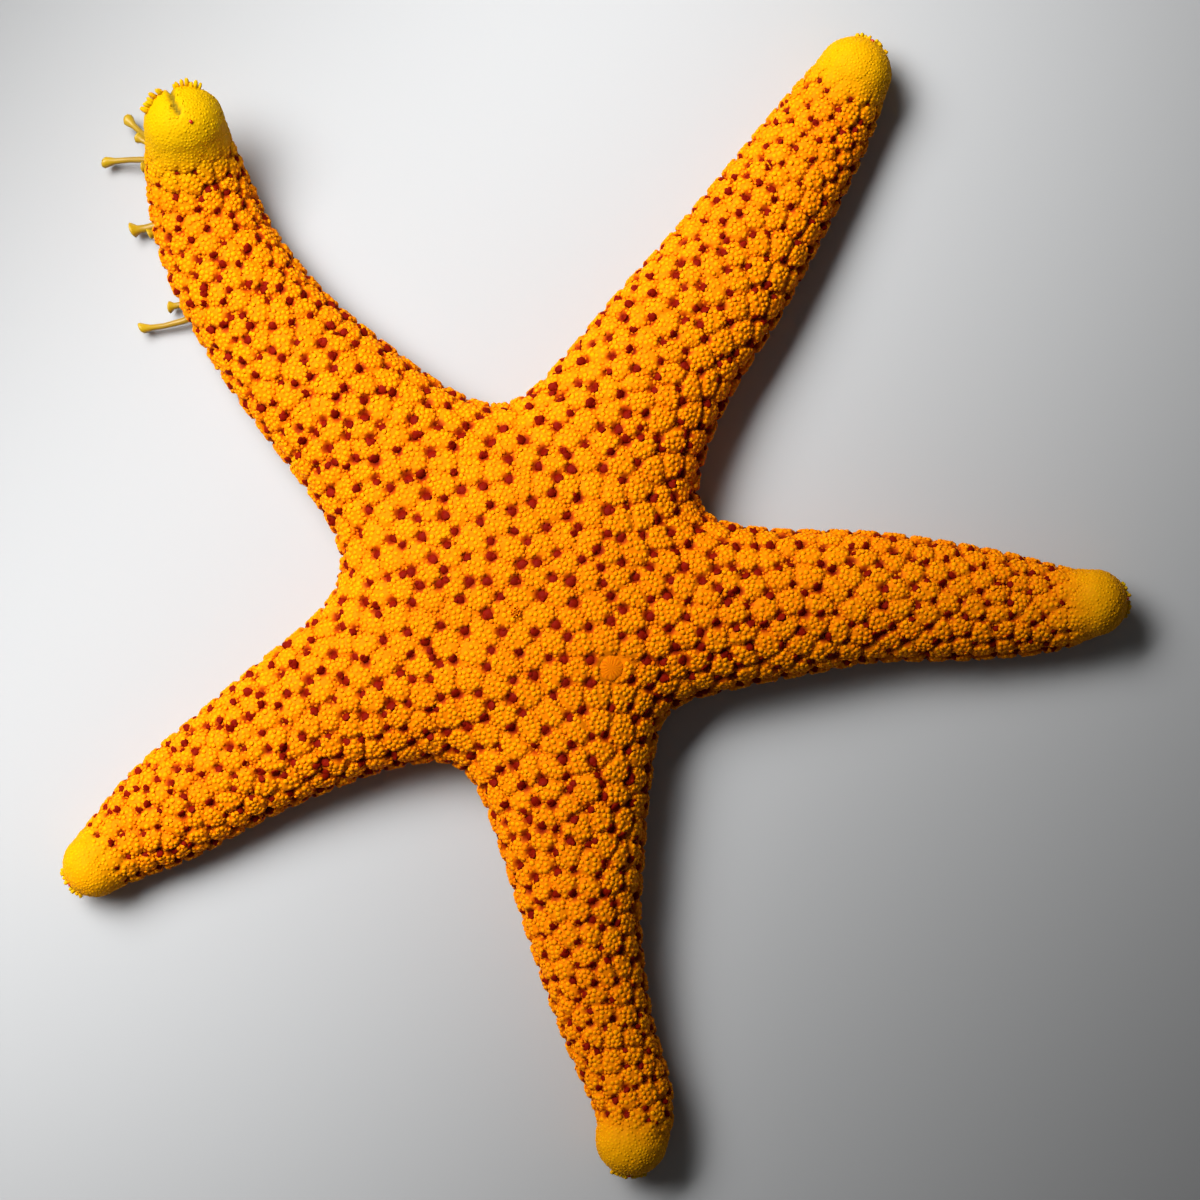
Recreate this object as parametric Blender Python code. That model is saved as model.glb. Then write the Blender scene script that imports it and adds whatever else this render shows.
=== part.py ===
"""A many-pored sea star at life size, lying on flats at Z 0 with one arm tip curled up.

The body is one closed form: five tapering arms that run softly into a low disc. Its skin is a
mosaic of domed plates, with two rows of larger plates along every margin. Below are the mouth with
its five jaws and a groove along each arm with tube feet and furrow spines. The form is modelled
whole and parted by thin cuts into the disc and three lengths of each arm.
Metres, +Z up. X is to the right and Y is up in a view from above.
"""

import math
from types import SimpleNamespace

import bmesh
import bpy
import numpy as np
from mathutils import Matrix, Vector
from mathutils.kdtree import KDTree

MM = 0.001

# Where the middle of the disc lies, so that the box of the whole star is centred on the origin.
DISC_CENTRE = (-7.42 * MM, 0.84 * MM)

# Each arm's middle line from the middle of the disc to the middle of its round tip, as x, y and half
# width in mm, and its upward curl: the share of the length where it starts and the angle it ends at.
ARMS = {
    "arm_1": SimpleNamespace(  # upper left, with its tip curled up
        line=[
            (0, 0, 9.6),
            (-9.5, 10.3, 9.9),
            (-18.6, 19.2, 8.6),
            (-26.8, 27.8, 7.2),
            (-32.8, 36.6, 6.3),
            (-35.6, 44.6, 5.6),
            (-36.8, 52.7, 4.4),
        ],
        curl_from=0.76,
        curl_to=math.radians(52),
    ),
    "arm_2": SimpleNamespace(  # upper right
        line=[
            (0, 0, 9.4),
            (6.9, 13.1, 10.0),
            (14.1, 25.2, 8.4),
            (21.5, 35.2, 7.3),
            (28.3, 45.4, 6.0),
            (33.1, 53.0, 4.9),
            (35.6, 57.4, 4.15),
        ],
        curl_from=0.86,
        curl_to=math.radians(18),
    ),
    "arm_3": SimpleNamespace(  # right
        line=[
            (0, 0, 9.2),
            (14.5, -1.0, 9.4),
            (26.0, -0.6, 8.1),
            (36.9, 0.2, 7.0),
            (47.7, -0.4, 6.1),
            (56.4, -0.9, 4.8),
            (61.9, -0.3, 3.7),
        ],
        curl_from=0.86,
        curl_to=math.radians(18),
    ),
    "arm_4": SimpleNamespace(  # lower, hooked at its end
        line=[
            (0, 0, 9.2),
            (3.4, -14.2, 9.7),
            (4.8, -25.5, 7.9),
            (6.1, -35.5, 6.1),
            (8.5, -45.8, 4.9),
            (11.4, -54.4, 4.3),
            (11.2, -59.0, 4.0),
        ],
        curl_from=0.88,
        curl_to=math.radians(12),
    ),
    "arm_5": SimpleNamespace(  # lower left
        line=[
            (0, 0, 9.3),
            (-12.5, -6.8, 9.7),
            (-22.2, -12.0, 8.3),
            (-30.7, -17.2, 6.9),
            (-38.7, -22.7, 5.8),
            (-44.4, -26.8, 4.3),
            (-47.3, -29.1, 3.6),
        ],
        curl_from=0.86,
        curl_to=math.radians(16),
    ),
}

# The disc's own round of flesh between the arms, and how softly the arms run together.
DISC_MIDDLE = (-1.7 * MM, 1.9 * MM)
DISC_RADIUS = 15.6 * MM
DISC_HALF_WIDTH = 9.5 * MM
BLEND = 2.5 * MM

# Height of the body at the disc, and of an arm at its root and at its tip.
DISC_HEIGHT = 12.0 * MM
ROOT_HEIGHT = 11.6 * MM
TIP_HEIGHT_PER_WIDTH = 1.55
WIDEST_AT = 0.40
TOP_ROUNDNESS = 2.15
UNDER_ROUNDNESS = 3.4
FLAT_SINK = 0.45 * MM

# The mosaic: plate spacing on the disc and at the arm tips, and the row along every margin.
PLATE_PITCH = 4.0 * MM
PLATE_PITCH_TIP = 2.8 * MM
MARGIN_PITCH = 3.7 * MM
MARGIN_PITCH_TIP = 2.65 * MM
MARGIN_LEVEL = 0.40
END_PITCH = 2.1 * MM
UNDER_PITCH = 6.0 * MM
UNDER_REACH = 3.2 * MM
CROWN_SHARE = 0.56
PLATE_RISE = 0.3 * MM
RELIEF_FROM = 0.8 * MM
FLAT_BELOW = 0.3
FLOOR_REACH = 0.35 * MM
SEAM_DEPTH = 0.30 * MM
SMOOTH_TIP = 5.6 * MM
PACKING = 0.91
SEED = 7

# The sheet that the mosaic is laid out on.
SHEET_VOXEL = 0.72 * MM
SETTLE_STEPS = 4
RELAX_ROUNDS = 14

# Under the arms: a shallow trough with a deep groove in its middle.
TROUGH_HALF = 2.7 * MM
TROUGH_HALF_TIP = 1.75 * MM
TROUGH_DEPTH = 0.75 * MM
GROOVE_HALF = 1.5 * MM
GROOVE_HALF_TIP = 0.85 * MM
GROOVE_DEPTH = 2.7 * MM
GROOVE_DEPTH_TIP = 1.3 * MM
MOUTH_RADIUS = 3.1 * MM
MOUTH_RIM = 1.1 * MM
MOUTH_DEPTH = 3.4 * MM

# Tube feet in two rows along each groove, and the furrow spines on its two edges.
FOOT_PITCH = 5.7 * MM
FOOT_NECK = 0.42 * MM
FOOT_SUCKER = 0.6 * MM
FOOT_CLEARANCE = 0.12 * MM
FIRST_FOOT = 6.2 * MM
LAST_FOOT = 5.6 * MM
SPINE_PITCH = 6.0 * MM
SPINE_RADIUS = 0.34 * MM
SPINE_LENGTH = 0.95 * MM
SPINE_FROM_EDGE = 0.77 * MM
SPINE_INTO_FLESH = 0.35 * MM
FIRST_SPINE = 8.6 * MM
CLEAR_OF_CUT = 0.95 * MM

# Jaws round the mouth, and the sieve plate on top between two arms.
JAW_OUTLINE = [(2.3, 0.0), (4.3, 0.75), (6.7, 2.05), (8.0, 0.0), (6.7, -2.05), (4.3, -0.75)]
JAW_MIDDLE = 5.2 * MM
JAW_UNDER = 0.45 * MM
JAW_HEIGHT = 2.2 * MM
JAW_SPINES = 2
SIEVE_PLATE = SimpleNamespace(x=9.0 * MM, y=-7.3 * MM, radius=1.35 * MM, lobes=8, foot=2.6 * MM)

# Where the arms are parted, the width of every cut, and how far the cutters reach past the body.
ROOT_CUT = 17.6 * MM
MIDDLE_CUT = 0.56
TIP_CUT = 5.2 * MM
CUT_WIDTH = 0.3 * MM
NOTCH_CUT = 6.0 * MM
BELOW_BODY = 2.0 * MM
ABOVE_BODY = 20.0 * MM
DISC_NODE_REACH = 6.0 * MM

ORANGE = (0.80, 0.24, 0.008, 1.0)
YELLOW = (0.83, 0.46, 0.010, 1.0)
PALE_ORANGE = (0.80, 0.34, 0.05, 1.0)
RED_ORANGE = (0.62, 0.13, 0.006, 1.0)


def clear_scene():
    for found in list(bpy.data.objects):
        bpy.data.objects.remove(found)


def material(name, colour, roughness):
    made = bpy.data.materials.new(name)
    made.use_nodes = True
    shader = made.node_tree.nodes["Principled BSDF"]
    shader.inputs["Base Color"].default_value = colour
    shader.inputs["Roughness"].default_value = roughness
    shader.inputs["Metallic"].default_value = 0.0
    made.diffuse_color = colour
    return made


def new_object(name, mesh):
    made = bpy.data.objects.new(name, mesh)
    bpy.context.scene.collection.objects.link(made)
    return made


def mesh_object(name, vertices, faces):
    mesh = bpy.data.meshes.new(name)
    mesh.from_pydata([tuple(v) for v in vertices], [], [tuple(f) for f in faces])
    mesh.validate()
    mesh.update()
    return new_object(name, mesh)


def closed_object(name, vertices, faces):
    """A closed mesh in triangles whose faces point outward."""
    made = mesh_object(name, vertices, faces)
    shape = bmesh.new()
    shape.from_mesh(made.data)
    bmesh.ops.triangulate(shape, faces=shape.faces)
    bmesh.ops.recalc_face_normals(shape, faces=shape.faces)
    shape.to_mesh(made.data)
    shape.free()
    return made


def smooth_step(value):
    t = np.clip(value, 0, 1)
    return t * t * (3 - 2 * t)


def smooth_line(points, count):
    """A curve through the points, as evenly spaced samples with the distance run along it."""
    given = np.array(points, float) * MM
    ends = np.vstack([2 * given[0] - given[1], given, 2 * given[-1] - given[-2]])
    steps = np.linspace(0, 1, 40, endpoint=False)[:, None]
    spans = []
    for a, b, c, d in zip(ends, ends[1:], ends[2:], ends[3:]):
        cubic = (3 * b - a - 3 * c + d) * steps**3
        square = (2 * a - 5 * b + 4 * c - d) * steps**2
        spans.append(0.5 * (2 * b + (c - a) * steps + square + cubic))
    curve = np.vstack([*spans, given[-1:]])
    run = np.r_[0, np.cumsum(np.linalg.norm(np.diff(curve[:, :2], axis=0), axis=1))]
    even = np.linspace(0, run[-1], count)
    columns = [np.interp(even, run, curve[:, k]) for k in range(curve.shape[1])]
    return np.stack(columns, 1), even


def trace_arm(arm, count=150):
    """Samples the arm's middle line in plan, and the curve that its underside follows in height."""
    line, plan_run = smooth_line(arm.line, count)
    tangent = np.gradient(line[:, :2], axis=0)
    tangent /= np.linalg.norm(tangent, axis=1)[:, None]
    start = arm.curl_from * plan_run[-1]
    tilt = arm.curl_to * np.clip((plan_run - start) / (plan_run[-1] - start), 0, 1) ** 1.3
    step = np.r_[0, np.diff(plan_run)]
    run = np.cumsum(step / np.cos(tilt))
    return SimpleNamespace(
        xy=line[:, :2] + np.array(DISC_CENTRE),
        plan_run=plan_run,
        half_width=line[:, 2],
        tangent=tangent,
        side=np.stack([-tangent[:, 1], tangent[:, 0]], 1),
        tilt=tilt,
        ground=np.cumsum(step * np.tan(tilt)),
        run=run,
        flat_until=int(np.argmax(tilt > 0)),
        length=run[-1],
        reach=run[-1] + line[-1, 2],
    )


def arm_height(arm, run):
    """Height of the arm's crown over its underside: tallest at the root, in step with its width."""
    tip = TIP_HEIGHT_PER_WIDTH * arm.half_width[-1]
    share = np.clip(run / arm.length, 0, 1)
    return ROOT_HEIGHT + (tip - ROOT_HEIGHT) * share**1.15


def arm_place(arm, points):
    """Run along the arm, offset to its left and height over its underside, for each point."""
    coarse = arm.xy[::10]
    along = arm.plan_run[::10][((points[:, None, :2] - coarse[None]) ** 2).sum(2).argmin(1)]
    for _ in range(3):
        along = np.clip(along, 0, arm.plan_run[-1])
        off = [points[:, k] - np.interp(along, arm.plan_run, arm.xy[:, k]) for k in (0, 1)]
        way = [np.interp(along, arm.plan_run, arm.tangent[:, k]) for k in (0, 1)]
        ahead = off[0] * way[0] + off[1] * way[1]
        side = off[1] * way[0] - off[0] * way[1]
        along = along + ahead
    run = np.interp(along, arm.plan_run, arm.run) + np.minimum(along, 0)
    run += np.maximum(along - arm.plan_run[-1], 0)
    height = points[:, 2]
    curled = along > arm.plan_run[arm.flat_until] - 1 * MM
    if curled.any():
        run[curled], height = run_up_curl(arm, along, points[:, 2], run, curled)
    return run, side, height


def run_up_curl(arm, along, rise, run, curled):
    """Runs and heights for the points over the upturned end, measured square to its curve."""
    height = rise.copy()
    ahead_of, over, at = along[curled], rise[curled], run[curled]
    for _ in range(4):
        tilt = np.interp(at, arm.run, arm.tilt)
        past = np.maximum(at - arm.length, 0)
        gap = ahead_of - np.interp(at, arm.run, arm.plan_run) - past * np.cos(tilt)
        lift = over - np.interp(at, arm.run, arm.ground) - past * np.sin(tilt)
        at = at + gap * np.cos(tilt) + lift * np.sin(tilt)
    height[curled] = lift * np.cos(tilt) - gap * np.sin(tilt)
    return at, height


def arm_frame(arm, run):
    """Position on the arm's underside with its forward, left and up directions."""
    at = [np.interp(run, arm.run, arm.xy[:, k]) for k in (0, 1)]
    lift = np.interp(run, arm.run, arm.ground)
    tilt = np.interp(run, arm.run, arm.tilt)
    flat = Vector([np.interp(run, arm.run, arm.tangent[:, k]) for k in (0, 1)] + [0]).normalized()
    past = max(run - arm.length, 0)
    forward = flat * math.cos(tilt) + Vector((0, 0, math.sin(tilt)))
    left = Vector((-flat.y, flat.x, 0))
    return Vector((*at, lift)) + forward * past, forward, left, forward.cross(left)


def arm_point(arm, run, side, height):
    at, _, left, up = arm_frame(arm, run)
    return at + left * side + up * height


def body_terms(points):
    """Signed distance in from the margin, the half width, the height and the place over the base."""
    margins, widths, heights, levels = [], [], [], []
    for arm in TRACED.values():
        run, side, level = arm_place(arm, points)
        beyond = np.maximum(run - arm.length, 0) + np.minimum(run, 0)
        width = np.interp(run, arm.run, arm.half_width)
        margins.append(np.hypot(side, beyond) - width)
        widths.append(width)
        heights.append(arm_height(arm, run))
        levels.append(level)
    middle = np.array(DISC_CENTRE) + np.array(DISC_MIDDLE)
    margins.append(np.linalg.norm(points[:, :2] - middle, axis=1) - DISC_RADIUS)
    widths.append(np.full(len(points), DISC_HALF_WIDTH))
    heights.append(np.full(len(points), DISC_HEIGHT))
    levels.append(points[:, 2])
    margins = np.stack(margins)
    closest = margins.min(0)
    weights = np.exp(-(margins - closest) / BLEND)
    total = weights.sum(0)
    mixed = [(weights * np.stack(part)).sum(0) / total for part in (widths, heights, levels)]
    return closest - BLEND * np.log(total), *mixed


def body_value(points):
    """Below 0 inside the body, 0 on its skin and above 0 outside it."""
    margin, width, height, level = body_terms(points)
    inward = np.maximum(1 + margin / width, 0)
    waist = WIDEST_AT * height
    over = level > waist
    half = np.where(over, height - waist, waist + FLAT_SINK)
    power = np.where(over, TOP_ROUNDNESS, UNDER_ROUNDNESS)
    return inward**TOP_ROUNDNESS + (np.abs(level - waist) / half) ** power - 1


def body_slope(points, value):
    reach = 0.02 * MM
    shifted = [body_value(points + reach * axis) for axis in np.eye(3)]
    return np.stack([(found - value) / reach for found in shifted], 1)


def settle(points, steps=SETTLE_STEPS):
    """Moves the points onto the skin of the body, and none below the floor."""
    points = np.array(points, float)
    for _ in range(steps):
        value = body_value(points)
        slope = body_slope(points, value)
        move = slope * (value / np.maximum((slope**2).sum(1), 1e-9))[:, None]
        size = np.linalg.norm(move, axis=1)
        points -= move * np.minimum(1, 1.5 * MM / np.maximum(size, 1e-12))[:, None]
    points[:, 2] = np.maximum(points[:, 2], 0)
    return points


def skin_normals(points):
    slope = body_slope(points, body_value(points))
    return slope / np.linalg.norm(slope, axis=1)[:, None]


def rough_body():
    """A row of flattened balls along every arm, from which one closed sheet is made."""
    shape = bmesh.new()
    for arm in TRACED.values():
        for run in np.linspace(0, arm.length, 26):
            at, forward, left, up = arm_frame(arm, run)
            width = np.interp(run, arm.run, arm.half_width)
            half = 0.5 * float(arm_height(arm, run))
            turn = Matrix((forward, left, up)).transposed().to_4x4()
            place = Matrix.Translation(at + up * half) @ turn @ Matrix.Diagonal((width, width, half, 1))
            bmesh.ops.create_icosphere(shape, subdivisions=3, radius=1.0, matrix=place)
    mesh = bpy.data.meshes.new("rough_body")
    shape.to_mesh(mesh)
    shape.free()
    return new_object("rough_body", mesh)


def fine_sheet():
    """Evenly spaced vertices and triangles of the whole skin, settled on the body."""
    rough = rough_body()
    remesh = rough.modifiers.new("one sheet", "REMESH")
    remesh.mode = "VOXEL"
    remesh.voxel_size = SHEET_VOXEL
    bpy.context.view_layer.update()
    evaluated = rough.evaluated_get(bpy.context.evaluated_depsgraph_get())
    sheet = bmesh.new()
    sheet.from_mesh(evaluated.data)
    bmesh.ops.triangulate(sheet, faces=sheet.faces)
    points = np.array([v.co for v in sheet.verts])
    triangles = np.array([[v.index for v in f.verts] for f in sheet.faces])
    sheet.free()
    bpy.data.objects.remove(rough)
    for _ in range(2):
        points = settle(points)
        points = settle(even_out(points, triangles), 2)
    return points, triangles


def even_out(points, triangles, rounds=4):
    """Moves every vertex halfway to the middle of its neighbours."""
    edges = np.vstack([triangles[:, [0, 1]], triangles[:, [1, 2]], triangles[:, [2, 0]]])
    count = np.bincount(edges[:, 0], minlength=len(points))[:, None]
    for _ in range(rounds):
        total = np.zeros_like(points)
        np.add.at(total, edges[:, 0], points[edges[:, 1]])
        points = 0.5 * (points + total / count)
    return points


def arm_shares(points):
    """Share of the way along its own arm, and the number of that arm, for each point."""
    places = [arm_place(arm, points) for arm in TRACED.values()]
    margins = [
        np.hypot(side, np.maximum(run - arm.length, 0) + np.minimum(run, 0))
        - np.interp(run, arm.run, arm.half_width)
        for arm, (run, side, _) in zip(TRACED.values(), places)
    ]
    own = np.stack(margins).argmin(0)
    runs = np.stack([run for run, _, _ in places])[own, np.arange(len(points))]
    reaches = np.array([arm.reach for arm in TRACED.values()])[own]
    levels = np.stack([level for _, _, level in places])[own, np.arange(len(points))]
    return runs / reaches, own, (reaches - runs), levels


def margin_row():
    """Plate centres along both margins of every arm, from its tip to the notches."""
    row = []
    for number, arm in enumerate(TRACED.values()):
        for side in (-1, 1):
            run = arm.reach - 0.9 * MARGIN_PITCH_TIP
            while run > 0:
                width = float(np.interp(run, arm.run, arm.half_width))
                height = MARGIN_LEVEL * float(arm_height(arm, run))
                found = settle([arm_point(arm, run, side * width, height)])
                share, own, _, _ = arm_shares(found)
                if own[0] != number:
                    break
                row.append(found[0])
                run -= MARGIN_PITCH + (MARGIN_PITCH_TIP - MARGIN_PITCH) * float(share[0]) ** 1.5
    return np.array(row)


def plate_pitches(points):
    """The spacing that plates have at each point: fine at the tips, wide on the underside."""
    share, _, to_tip, level = arm_shares(points)
    pitch = PLATE_PITCH + (PLATE_PITCH_TIP - PLATE_PITCH) * np.clip(share, 0, 1) ** 1.5
    pitch += (END_PITCH - pitch) * smooth_step(1 + (SMOOTH_TIP - to_tip) / (2 * MM))
    return pitch + (UNDER_PITCH - pitch) * smooth_step(1 - level / UNDER_REACH)


def scatter_plates(sheet, row):
    """Plate centres over the sheet, at least a share of the local spacing from one another."""
    random = np.random.default_rng(SEED)
    pitch = plate_pitches(sheet)
    free = np.ones(len(sheet), bool)
    for plate, spacing in zip(row, plate_pitches(row)):
        free &= np.linalg.norm(sheet - plate, axis=1) > PACKING * np.maximum(pitch, spacing)
    chosen = list(row)
    for index in random.permutation(len(sheet)):
        if free[index]:
            chosen.append(sheet[index])
            gaps = np.linalg.norm(sheet - sheet[index], axis=1)
            free &= gaps > PACKING * np.maximum(pitch, pitch[index])
    return np.array(chosen)


def nearest_plate(points, centres, pitch):
    """Number of the plate that each point belongs to, wider plates reaching further."""
    finder = KDTree(len(centres))
    for number, centre in enumerate(centres):
        finder.insert(centre, number)
    finder.balance()
    owners = np.empty(len(points), int)
    for index, point in enumerate(points):
        found = finder.find_n(point, 4)
        owners[index] = min(found, key=lambda near: near[2] / pitch[near[1]])[1]
    return owners


def relax_plates(sheet, centres, fixed):
    """Moves each plate centre to the middle of its plate. Marginal ones move only a little."""
    freedom = np.where(np.arange(len(centres)) < fixed, 0.12, 1.0)[:, None]
    for _ in range(RELAX_ROUNDS):
        pitch = plate_pitches(centres)
        owners = nearest_plate(sheet, centres, pitch)
        count = np.bincount(owners, minlength=len(centres))
        total = np.zeros_like(centres)
        np.add.at(total, owners, sheet)
        middles = np.where(count[:, None] > 0, total / np.maximum(count, 1)[:, None], centres)
        centres = settle(centres + freedom * (middles - centres), 2)
    return centres


def plate_corners(sheet, triangles, owners):
    """Where three plates meet: for each such triangle of plates, the corner's place."""
    labels = owners[triangles]
    mixed = (labels[:, 0] != labels[:, 1]) & (labels[:, 1] != labels[:, 2]) & (labels[:, 0] != labels[:, 2])
    found = {}
    for trio, corners in zip(labels[mixed], triangles[mixed]):
        low = trio.argmin()
        key = tuple(int(trio[(low + k) % 3]) for k in range(3))
        found.setdefault(key, []).append(sheet[corners].mean(0))
    meeting = {}
    for (a, b, c), places in found.items():
        if len(places) > len(found.get((a, c, b), ())):
            meeting[a, b, c] = np.mean(places, axis=0)
    return meeting


def mosaic(sheet, triangles):
    """The closed skin: every plate a raised crown with sloping sides down to sunken corners."""
    row = margin_row()
    centres = relax_plates(sheet, scatter_plates(sheet, row), len(row))
    owners = nearest_plate(sheet, centres, plate_pitches(centres))
    meeting = plate_corners(sheet, triangles, owners)
    keys = list(meeting)
    corners = settle(np.array([meeting[key] for key in keys]), 2)
    return dome_plates(centres, corners, keys)


def plate_relief(points):
    """How far the plates stand out: none on the smooth tips and on the underside's flats."""
    _, _, to_tip, level = arm_shares(points)
    clear_of_tip = smooth_step((to_tip - SMOOTH_TIP + 1.5 * MM) / (3 * MM))
    return clear_of_tip * smooth_step((level - RELIEF_FROM) / (1.5 * MM))


def dome_plates(centres, corners, keys):
    """Builds the faces of every plate from its ring of corners, the lowest corners set on the floor."""
    relief = plate_relief(centres)
    on_tip = arm_shares(centres)[2] < SMOOTH_TIP
    normals = skin_normals(centres)
    corner_places = corners - skin_normals(corners) * (SEAM_DEPTH * plate_relief(corners))[:, None]
    corner_places[corner_places[:, 2] < FLOOR_REACH, 2] = 0
    around = [{} for _ in centres]
    for number, (a, b, c) in enumerate(keys):
        around[a][b] = (c, number)
        around[b][c] = (a, number)
        around[c][a] = (b, number)
    vertices = list(corner_places)
    faces = []
    for plate, links in enumerate(around):
        neighbour = min(links)
        ring = []
        for _ in range(len(links)):
            neighbour, number = links[neighbour]
            ring.append(number)
        top = len(vertices)
        count = len(ring)
        if on_tip[plate]:
            vertices.append(centres[plate])
            faces += [[top, ring[k], ring[(k + 1) % count]] for k in range(count)]
            continue
        if relief[plate] < FLAT_BELOW:
            faces.append(ring)
            continue
        rise = normals[plate] * relief[plate] * PLATE_RISE
        for number in ring:
            vertices.append(centres[plate] + CROWN_SHARE * (corners[number] - centres[plate]) + rise)
        faces.append([top + k for k in range(count)])
        for k, number in enumerate(ring):
            after = (k + 1) % count
            faces.append([top + k, number, ring[after], top + after])
    return closed_object("body", vertices, faces)


def sweep(name, arm, runs, outline):
    """A closed bar along an arm's underside. outline gives side and height pairs for a run."""
    vertices, faces = [], []
    for run in runs:
        vertices += [arm_point(arm, run, side, height) for side, height in outline(run)]
    size = len(vertices) // len(runs)
    for k in range(len(runs) - 1):
        for j in range(size):
            after = (j + 1) % size
            start, ahead = k * size, (k + 1) * size
            faces.append([start + j, start + after, ahead + after, ahead + j])
    faces.append(list(range(size))[::-1])
    faces.append([len(vertices) - size + j for j in range(size)])
    return closed_object(name, vertices, faces)


def along_arm(arm, run, at_root, at_tip):
    return at_root + (at_tip - at_root) * float(np.clip(run / arm.reach, 0, 1))


def groove_cutter(name, arm):
    """Trough and groove in one section, fading out under the tip."""

    def outline(run):
        fade = float(smooth_step((arm.reach - run) / (5 * MM)))
        trough = along_arm(arm, run, TROUGH_HALF, TROUGH_HALF_TIP) * (0.5 + 0.5 * fade)
        groove = along_arm(arm, run, GROOVE_HALF, GROOVE_HALF_TIP) * (0.5 + 0.5 * fade)
        shallow = TROUGH_DEPTH * (0.35 + 0.65 * fade)
        deep = along_arm(arm, run, GROOVE_DEPTH, GROOVE_DEPTH_TIP) * (0.3 + 0.7 * fade)
        flare = (trough - groove) / shallow
        half = [(trough + 1.5 * MM * flare, -1.5 * MM), (groove, shallow), (0.6 * groove, deep)]
        return half + [(-side, height) for side, height in half[::-1]]

    runs = np.linspace(1.0 * MM, arm.reach - 0.25 * arm.half_width[-1], 12)
    return sweep(name, arm, runs, outline)


def prism(name, outline, low, high):
    """A closed upright block with the given plan outline."""
    count = len(outline)
    vertices = [(x, y, z) for z in (low, high) for x, y in outline]
    faces = [list(range(count))[::-1], list(range(count, 2 * count))]
    faces += [[k, (k + 1) % count, count + (k + 1) % count, count + k] for k in range(count)]
    return closed_object(name, vertices, faces)


def wall_cut(name, start, end):
    """A thin upright wall between two plan points, for parting the body."""
    start, end = Vector(start), Vector(end)
    across = (end - start).normalized().orthogonal() * (CUT_WIDTH / 2)
    outline = [start + across, end + across, end - across, start - across]
    return prism(name, [(p.x, p.y) for p in outline], -BELOW_BODY, ABOVE_BODY)


def arm_cut(name, arm, run):
    """A thin slab square to an arm at the given run."""
    at, forward, left, up = arm_frame(arm, run)
    reach_side = 1.35 * float(np.interp(run, arm.run, arm.half_width))
    made = mesh_object(name, [], [])
    shape = bmesh.new()
    turn = Matrix((forward, left, up)).transposed().to_4x4()
    size = Matrix.Diagonal((CUT_WIDTH, 2 * reach_side, 24 * MM, 1))
    bmesh.ops.create_cube(shape, size=1.0, matrix=Matrix.Translation(at + up * 5 * MM) @ turn @ size)
    shape.to_mesh(made.data)
    shape.free()
    return made


def root_corners():
    """Plan points where the root cuts of neighbouring arms meet, in order round the disc."""
    planes = []
    for arm in TRACED.values():
        at, forward, _, _ = arm_frame(arm, ROOT_CUT)
        planes.append((math.atan2(forward.y, forward.x), at.xy, forward.xy))
    planes.sort(key=lambda plane: plane[0])
    corners = []
    for (_, at_a, dir_a), (_, at_b, dir_b) in zip(planes, planes[1:] + planes[:1]):
        sides = Matrix((dir_a, dir_b))
        corners.append(sides.inverted() @ Vector((at_a.dot(dir_a), at_b.dot(dir_b))))
    return corners


def boolean_with(target, others, operation, solver):
    """Joins the other objects to the target or cuts them from it, and removes them."""
    group = bpy.data.collections.new(operation)
    for other in others:
        group.objects.link(other)
    change = target.modifiers.new(operation, "BOOLEAN")
    change.operation = operation
    change.operand_type = "COLLECTION"
    change.collection = group
    change.solver = solver
    bpy.context.view_layer.update()
    evaluated = target.evaluated_get(bpy.context.evaluated_depsgraph_get())
    result = bpy.data.meshes.new_from_object(evaluated)
    target.modifiers.clear()
    target.data = result
    for other in others:
        bpy.data.objects.remove(other)
    bpy.data.collections.remove(group)


def loose_parts(mesh):
    """The mesh's separate closed surfaces, each as vertices and faces."""
    shape = bmesh.new()
    shape.from_mesh(mesh)
    shape.verts.ensure_lookup_table()
    seen, parts = set(), []
    for start in shape.verts:
        if start.index in seen:
            continue
        seen.add(start.index)
        stack, members = [start], []
        while stack:
            vertex = stack.pop()
            members.append(vertex)
            for edge in vertex.link_edges:
                other = edge.other_vert(vertex)
                if other.index not in seen:
                    seen.add(other.index)
                    stack.append(other)
        renumber = {vertex.index: k for k, vertex in enumerate(members)}
        faces = {face for vertex in members for face in vertex.link_faces}
        ordered = sorted(faces, key=lambda face: face.index)
        parts.append(
            (
                [vertex.co.copy() for vertex in members],
                [[renumber[v.index] for v in face.verts] for face in ordered],
            )
        )
    shape.free()
    return parts


def keep_largest(target):
    """Keeps the object's largest closed surface only."""
    vertices, faces = max(loose_parts(target.data), key=lambda part: len(part[1]))
    name, materials = target.name, list(target.data.materials)
    bpy.data.objects.remove(target)
    made = mesh_object(name, vertices, faces)
    for one in materials:
        made.data.materials.append(one)
    return made


def cut_runs(arm):
    """Runs of the cuts at the root, in the middle and at the tip of an arm."""
    return ROOT_CUT, MIDDLE_CUT * arm.reach, arm.reach - TIP_CUT


def part_cuts():
    cutters = []
    corners = root_corners()
    for k, (corner, after) in enumerate(zip(corners, corners[1:] + corners[:1])):
        along = (after - corner).normalized() * (CUT_WIDTH / 2)
        cutters.append(wall_cut(f"root_cut_{k}", corner - along, after + along))
        outward_way = (corner - Vector(DISC_CENTRE)).normalized()
        start = corner - outward_way * (CUT_WIDTH / 2)
        cutters.append(wall_cut(f"notch_cut_{k}", start, corner + outward_way * NOTCH_CUT))
    for name, arm in TRACED.items():
        _, middle, tip = cut_runs(arm)
        cutters.append(arm_cut(f"{name}_middle_cut", arm, middle))
        cutters.append(arm_cut(f"{name}_tip_cut", arm, tip))
    return cutters


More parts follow.
